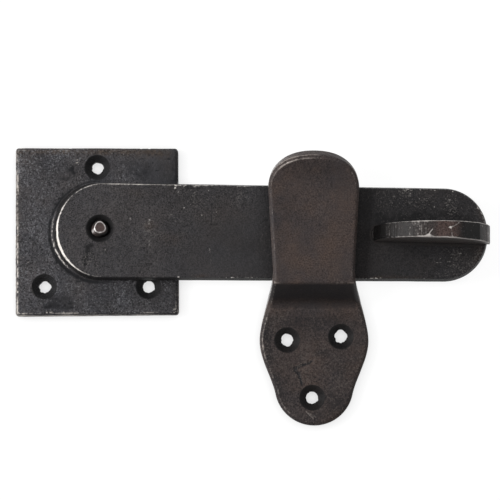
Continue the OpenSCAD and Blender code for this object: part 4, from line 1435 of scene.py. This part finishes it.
def bead_path():
    """The path round the tab's root as (along, up) with its outward normal, from the tip end above, round
    the near end, to the tip end below."""
    far = BAR_REACH - BAR_DRAFT - 1.2
    near = TAB_X - TAB_R + BEAD_SET_IN * TAB_T_NEAR / 2
    top = np.linspace(far, near, 220)
    turn = np.radians(np.linspace(90, 270, 60))[1:-1]
    nose = np.stack([near + half_thick(near) * np.cos(turn), half_thick(near) * np.sin(turn)], 1)
    upper = np.stack([top, half_thick(top)], 1)
    lower = upper[::-1] * [1, -1]
    path = np.concatenate([upper, nose, lower])
    step = np.gradient(path, axis=0)
    step /= np.linalg.norm(step, axis=1, keepdims=True)
    return path, np.stack([step[:, 1], -step[:, 0]], 1)


def make_bead():
    """The hollow section carried along the path, bigger and smaller by two sines of the length run. Over the
    last BEAD_TAPER millimetres at each end its size goes to nothing, as the square root of what is left."""
    path, out = bead_path()
    length = np.concatenate([[0], np.cumsum(np.linalg.norm(np.diff(path, axis=0), axis=1))])
    turn = np.radians(np.linspace(180, 270, 9))
    hollow = np.array([BEAD, BEAD]) + BEAD * np.stack([np.cos(turn), np.sin(turn)], 1)
    section = np.concatenate([hollow, [[BEAD, -0.2], [0.6, -0.3], [-0.6, -0.3], [-0.8, 0.6], [-0.6, BEAD]]])
    ripple = 1 + 0.07 * np.sin(2 * np.pi * length / BEAD_PITCH) + 0.05 * np.sin(2 * np.pi * length / 5.3)
    end = np.minimum(length, length[-1] - length) / BEAD_TAPER
    size = (ripple * np.sqrt(np.clip(end, 0, 1)))[:, None]
    away = section[None, :, 0] * size
    high = section[None, :, 1] * size
    flat = path[:, None] + out[:, None] * away[..., None]
    points = on_bar(flat[..., 0].ravel(), flat[..., 1].ravel(), high.ravel())
    quads = closed_grid(len(path), len(section))
    points, quads, plain = welded(points, quads, np.zeros(len(points)))
    finish = iron("weld_iron", tone(44, 43, 44), tone(56, 48, 44), tone(26, 26, 27), tone(120, 116, 112),
                  patch=140, rough=(0.45, 0.6), speck=0.85, bump=0.3, contrast=0.2)
    return piece("weld_bead", points, quads, plain, plain, plain, None, "bar", finish)


make_bead()

# %% [markdown]
# ## The rivet
# Its shouldered shank is hammered into the plate's back, and its head was dressed by a ring of hammer blows
# round a small flat. It is a revolved profile, and each blow is a plane that cuts the crown. In the
# photograph the lower left blows are bright and the others dark. Much of that is likely light, but here
# both are painted.

# %% Rivet
JOURNAL_R = 3.0
TAIL_R = 2.5
TAIL_SPREAD_R = 3.6
HEAD_R = 3.6
HEAD_FLAT_R = 2.3
HEAD_FACETS = 7
HEAD_ASIDE = [0.3, 0.9]
HEAD_LOBES = 0.06
HEAD_RAISED = 0.35
BLOW_CUT = 0.12


def rivet_profile(low, wide, top):
    """The revolved profile as rows of (radius, distance from the back, wear): the spread tail, the tail, the
    journal, the head's cone and its crown."""
    plate_t = -box_mm("pivot_plate")[0][1]
    return rounded([(0, 0, 0, 0), (TAIL_SPREAD_R, 0, 0.1, 0.3), (TAIL_R, TAIL_SPREAD_R - TAIL_R, 0.2, 0),
                    (TAIL_R, plate_t, 0.1, 0), (JOURNAL_R, plate_t, 0.1, 0), (JOURNAL_R, low, 0.1, 0),
                    (HEAD_R, wide, 0.15, 0), (HEAD_R, wide + 0.5, 0.3, 0),
                    (HEAD_FLAT_R + 0.9, top - 0.3, 0.4, 0), (HEAD_FLAT_R, top, 0.3, 1), (0, top, 0, 0)], 0.22)


def hammered(radius, out, turn, wide, top):
    """The crown cut by one plane for each blow. A plane falls from the small flat outwards, by the tangent
    of its own angle, and turns round the head from blow to blow with a little unevenness."""
    for k in range(HEAD_FACETS):
        way = math.radians(k * 360 / HEAD_FACETS + 12 * math.sin(math.radians(k * 140)))
        steep = math.tan(math.radians(38 + 8 * math.sin(math.radians(k * 97))))
        cut = top - BLOW_CUT - (radius * np.cos(turn - way) - HEAD_FLAT_R) * steep
        out = np.where(out > wide, np.maximum(np.minimum(out, cut), wide), out)
    return out


def make_rivet():
    """The profile turned round the axis. The crown is moved aside, most in its middle, and the head is drawn
    into three soft lobes. The lower left of its slope is rubbed bright, partly as painted highlight, and the
    rest of the slope is darkened as painted shade."""
    top = -box_mm("pivot_rivet")[0][1]
    low = BAR_FACE - (BAR_SINK_D - BAR_BORE_D) / 2 + HEAD_RAISED
    wide = low + HEAD_R - JOURNAL_R
    profile = rivet_profile(low, wide, top)
    turn = np.radians(np.linspace(0, 360, 120, endpoint=False))[None]
    radius, out, worn = (profile[:, k][:, None] * np.ones(turn.shape) for k in range(3))
    out = hammered(radius, out, turn, wide, top)
    head = out > wide
    crown = (out > wide + 0.2) * np.clip(1 - radius / HEAD_R, 0, 1)
    lobed = 1 - HEAD_LOBES * head * (1 - np.cos(3 * turn - math.radians(285)))
    points = np.stack([radius * lobed * np.cos(turn) + HEAD_ASIDE[0] * crown, -out,
                       radius * lobed * np.sin(turn) + HEAD_ASIDE[1] * crown], -1).reshape(-1, 3)
    quads = closed_grid(len(profile), turn.size)
    # Painted highlight and shade: the head's lower left is made bright and the rest of its slope dark.
    to_lower_left = bell(np.degrees(turn), 205, 38)
    facet = bell(radius - HEAD_FLAT_R, 0.7, 0.7) * to_lower_left * head
    ring = worn ** 1.5 * head * (0.75 + 0.25 * to_lower_left)
    dark = climb(radius - HEAD_FLAT_R, 0.25, 0.4) * (1 - to_lower_left)
    rows = np.stack([np.maximum(ring, 0.75 * facet).ravel(), -dark.ravel()], 1)
    points, quads, rows = welded(points, quads, rows)
    arris, tint = rows.T
    points = forged(points, quads, arris, 67, wave=0.03, rough=0.02, pit=0.02, nick=0.05)
    finish = iron("rivet_iron", tone(84, 72, 70), tone(90, 72, 68), tone(38, 36, 36), tone(206, 202, 200),
                  patch=200, grain=1500, rough=(0.34, 0.46), speck=0.75, bump=0.2, contrast=0.2, start=0.25)
    return piece("hammered_rivet", points, quads, arris, 0 * arris, tint, "pivot_rivet", "fixed",
                 finish)


make_rivet()
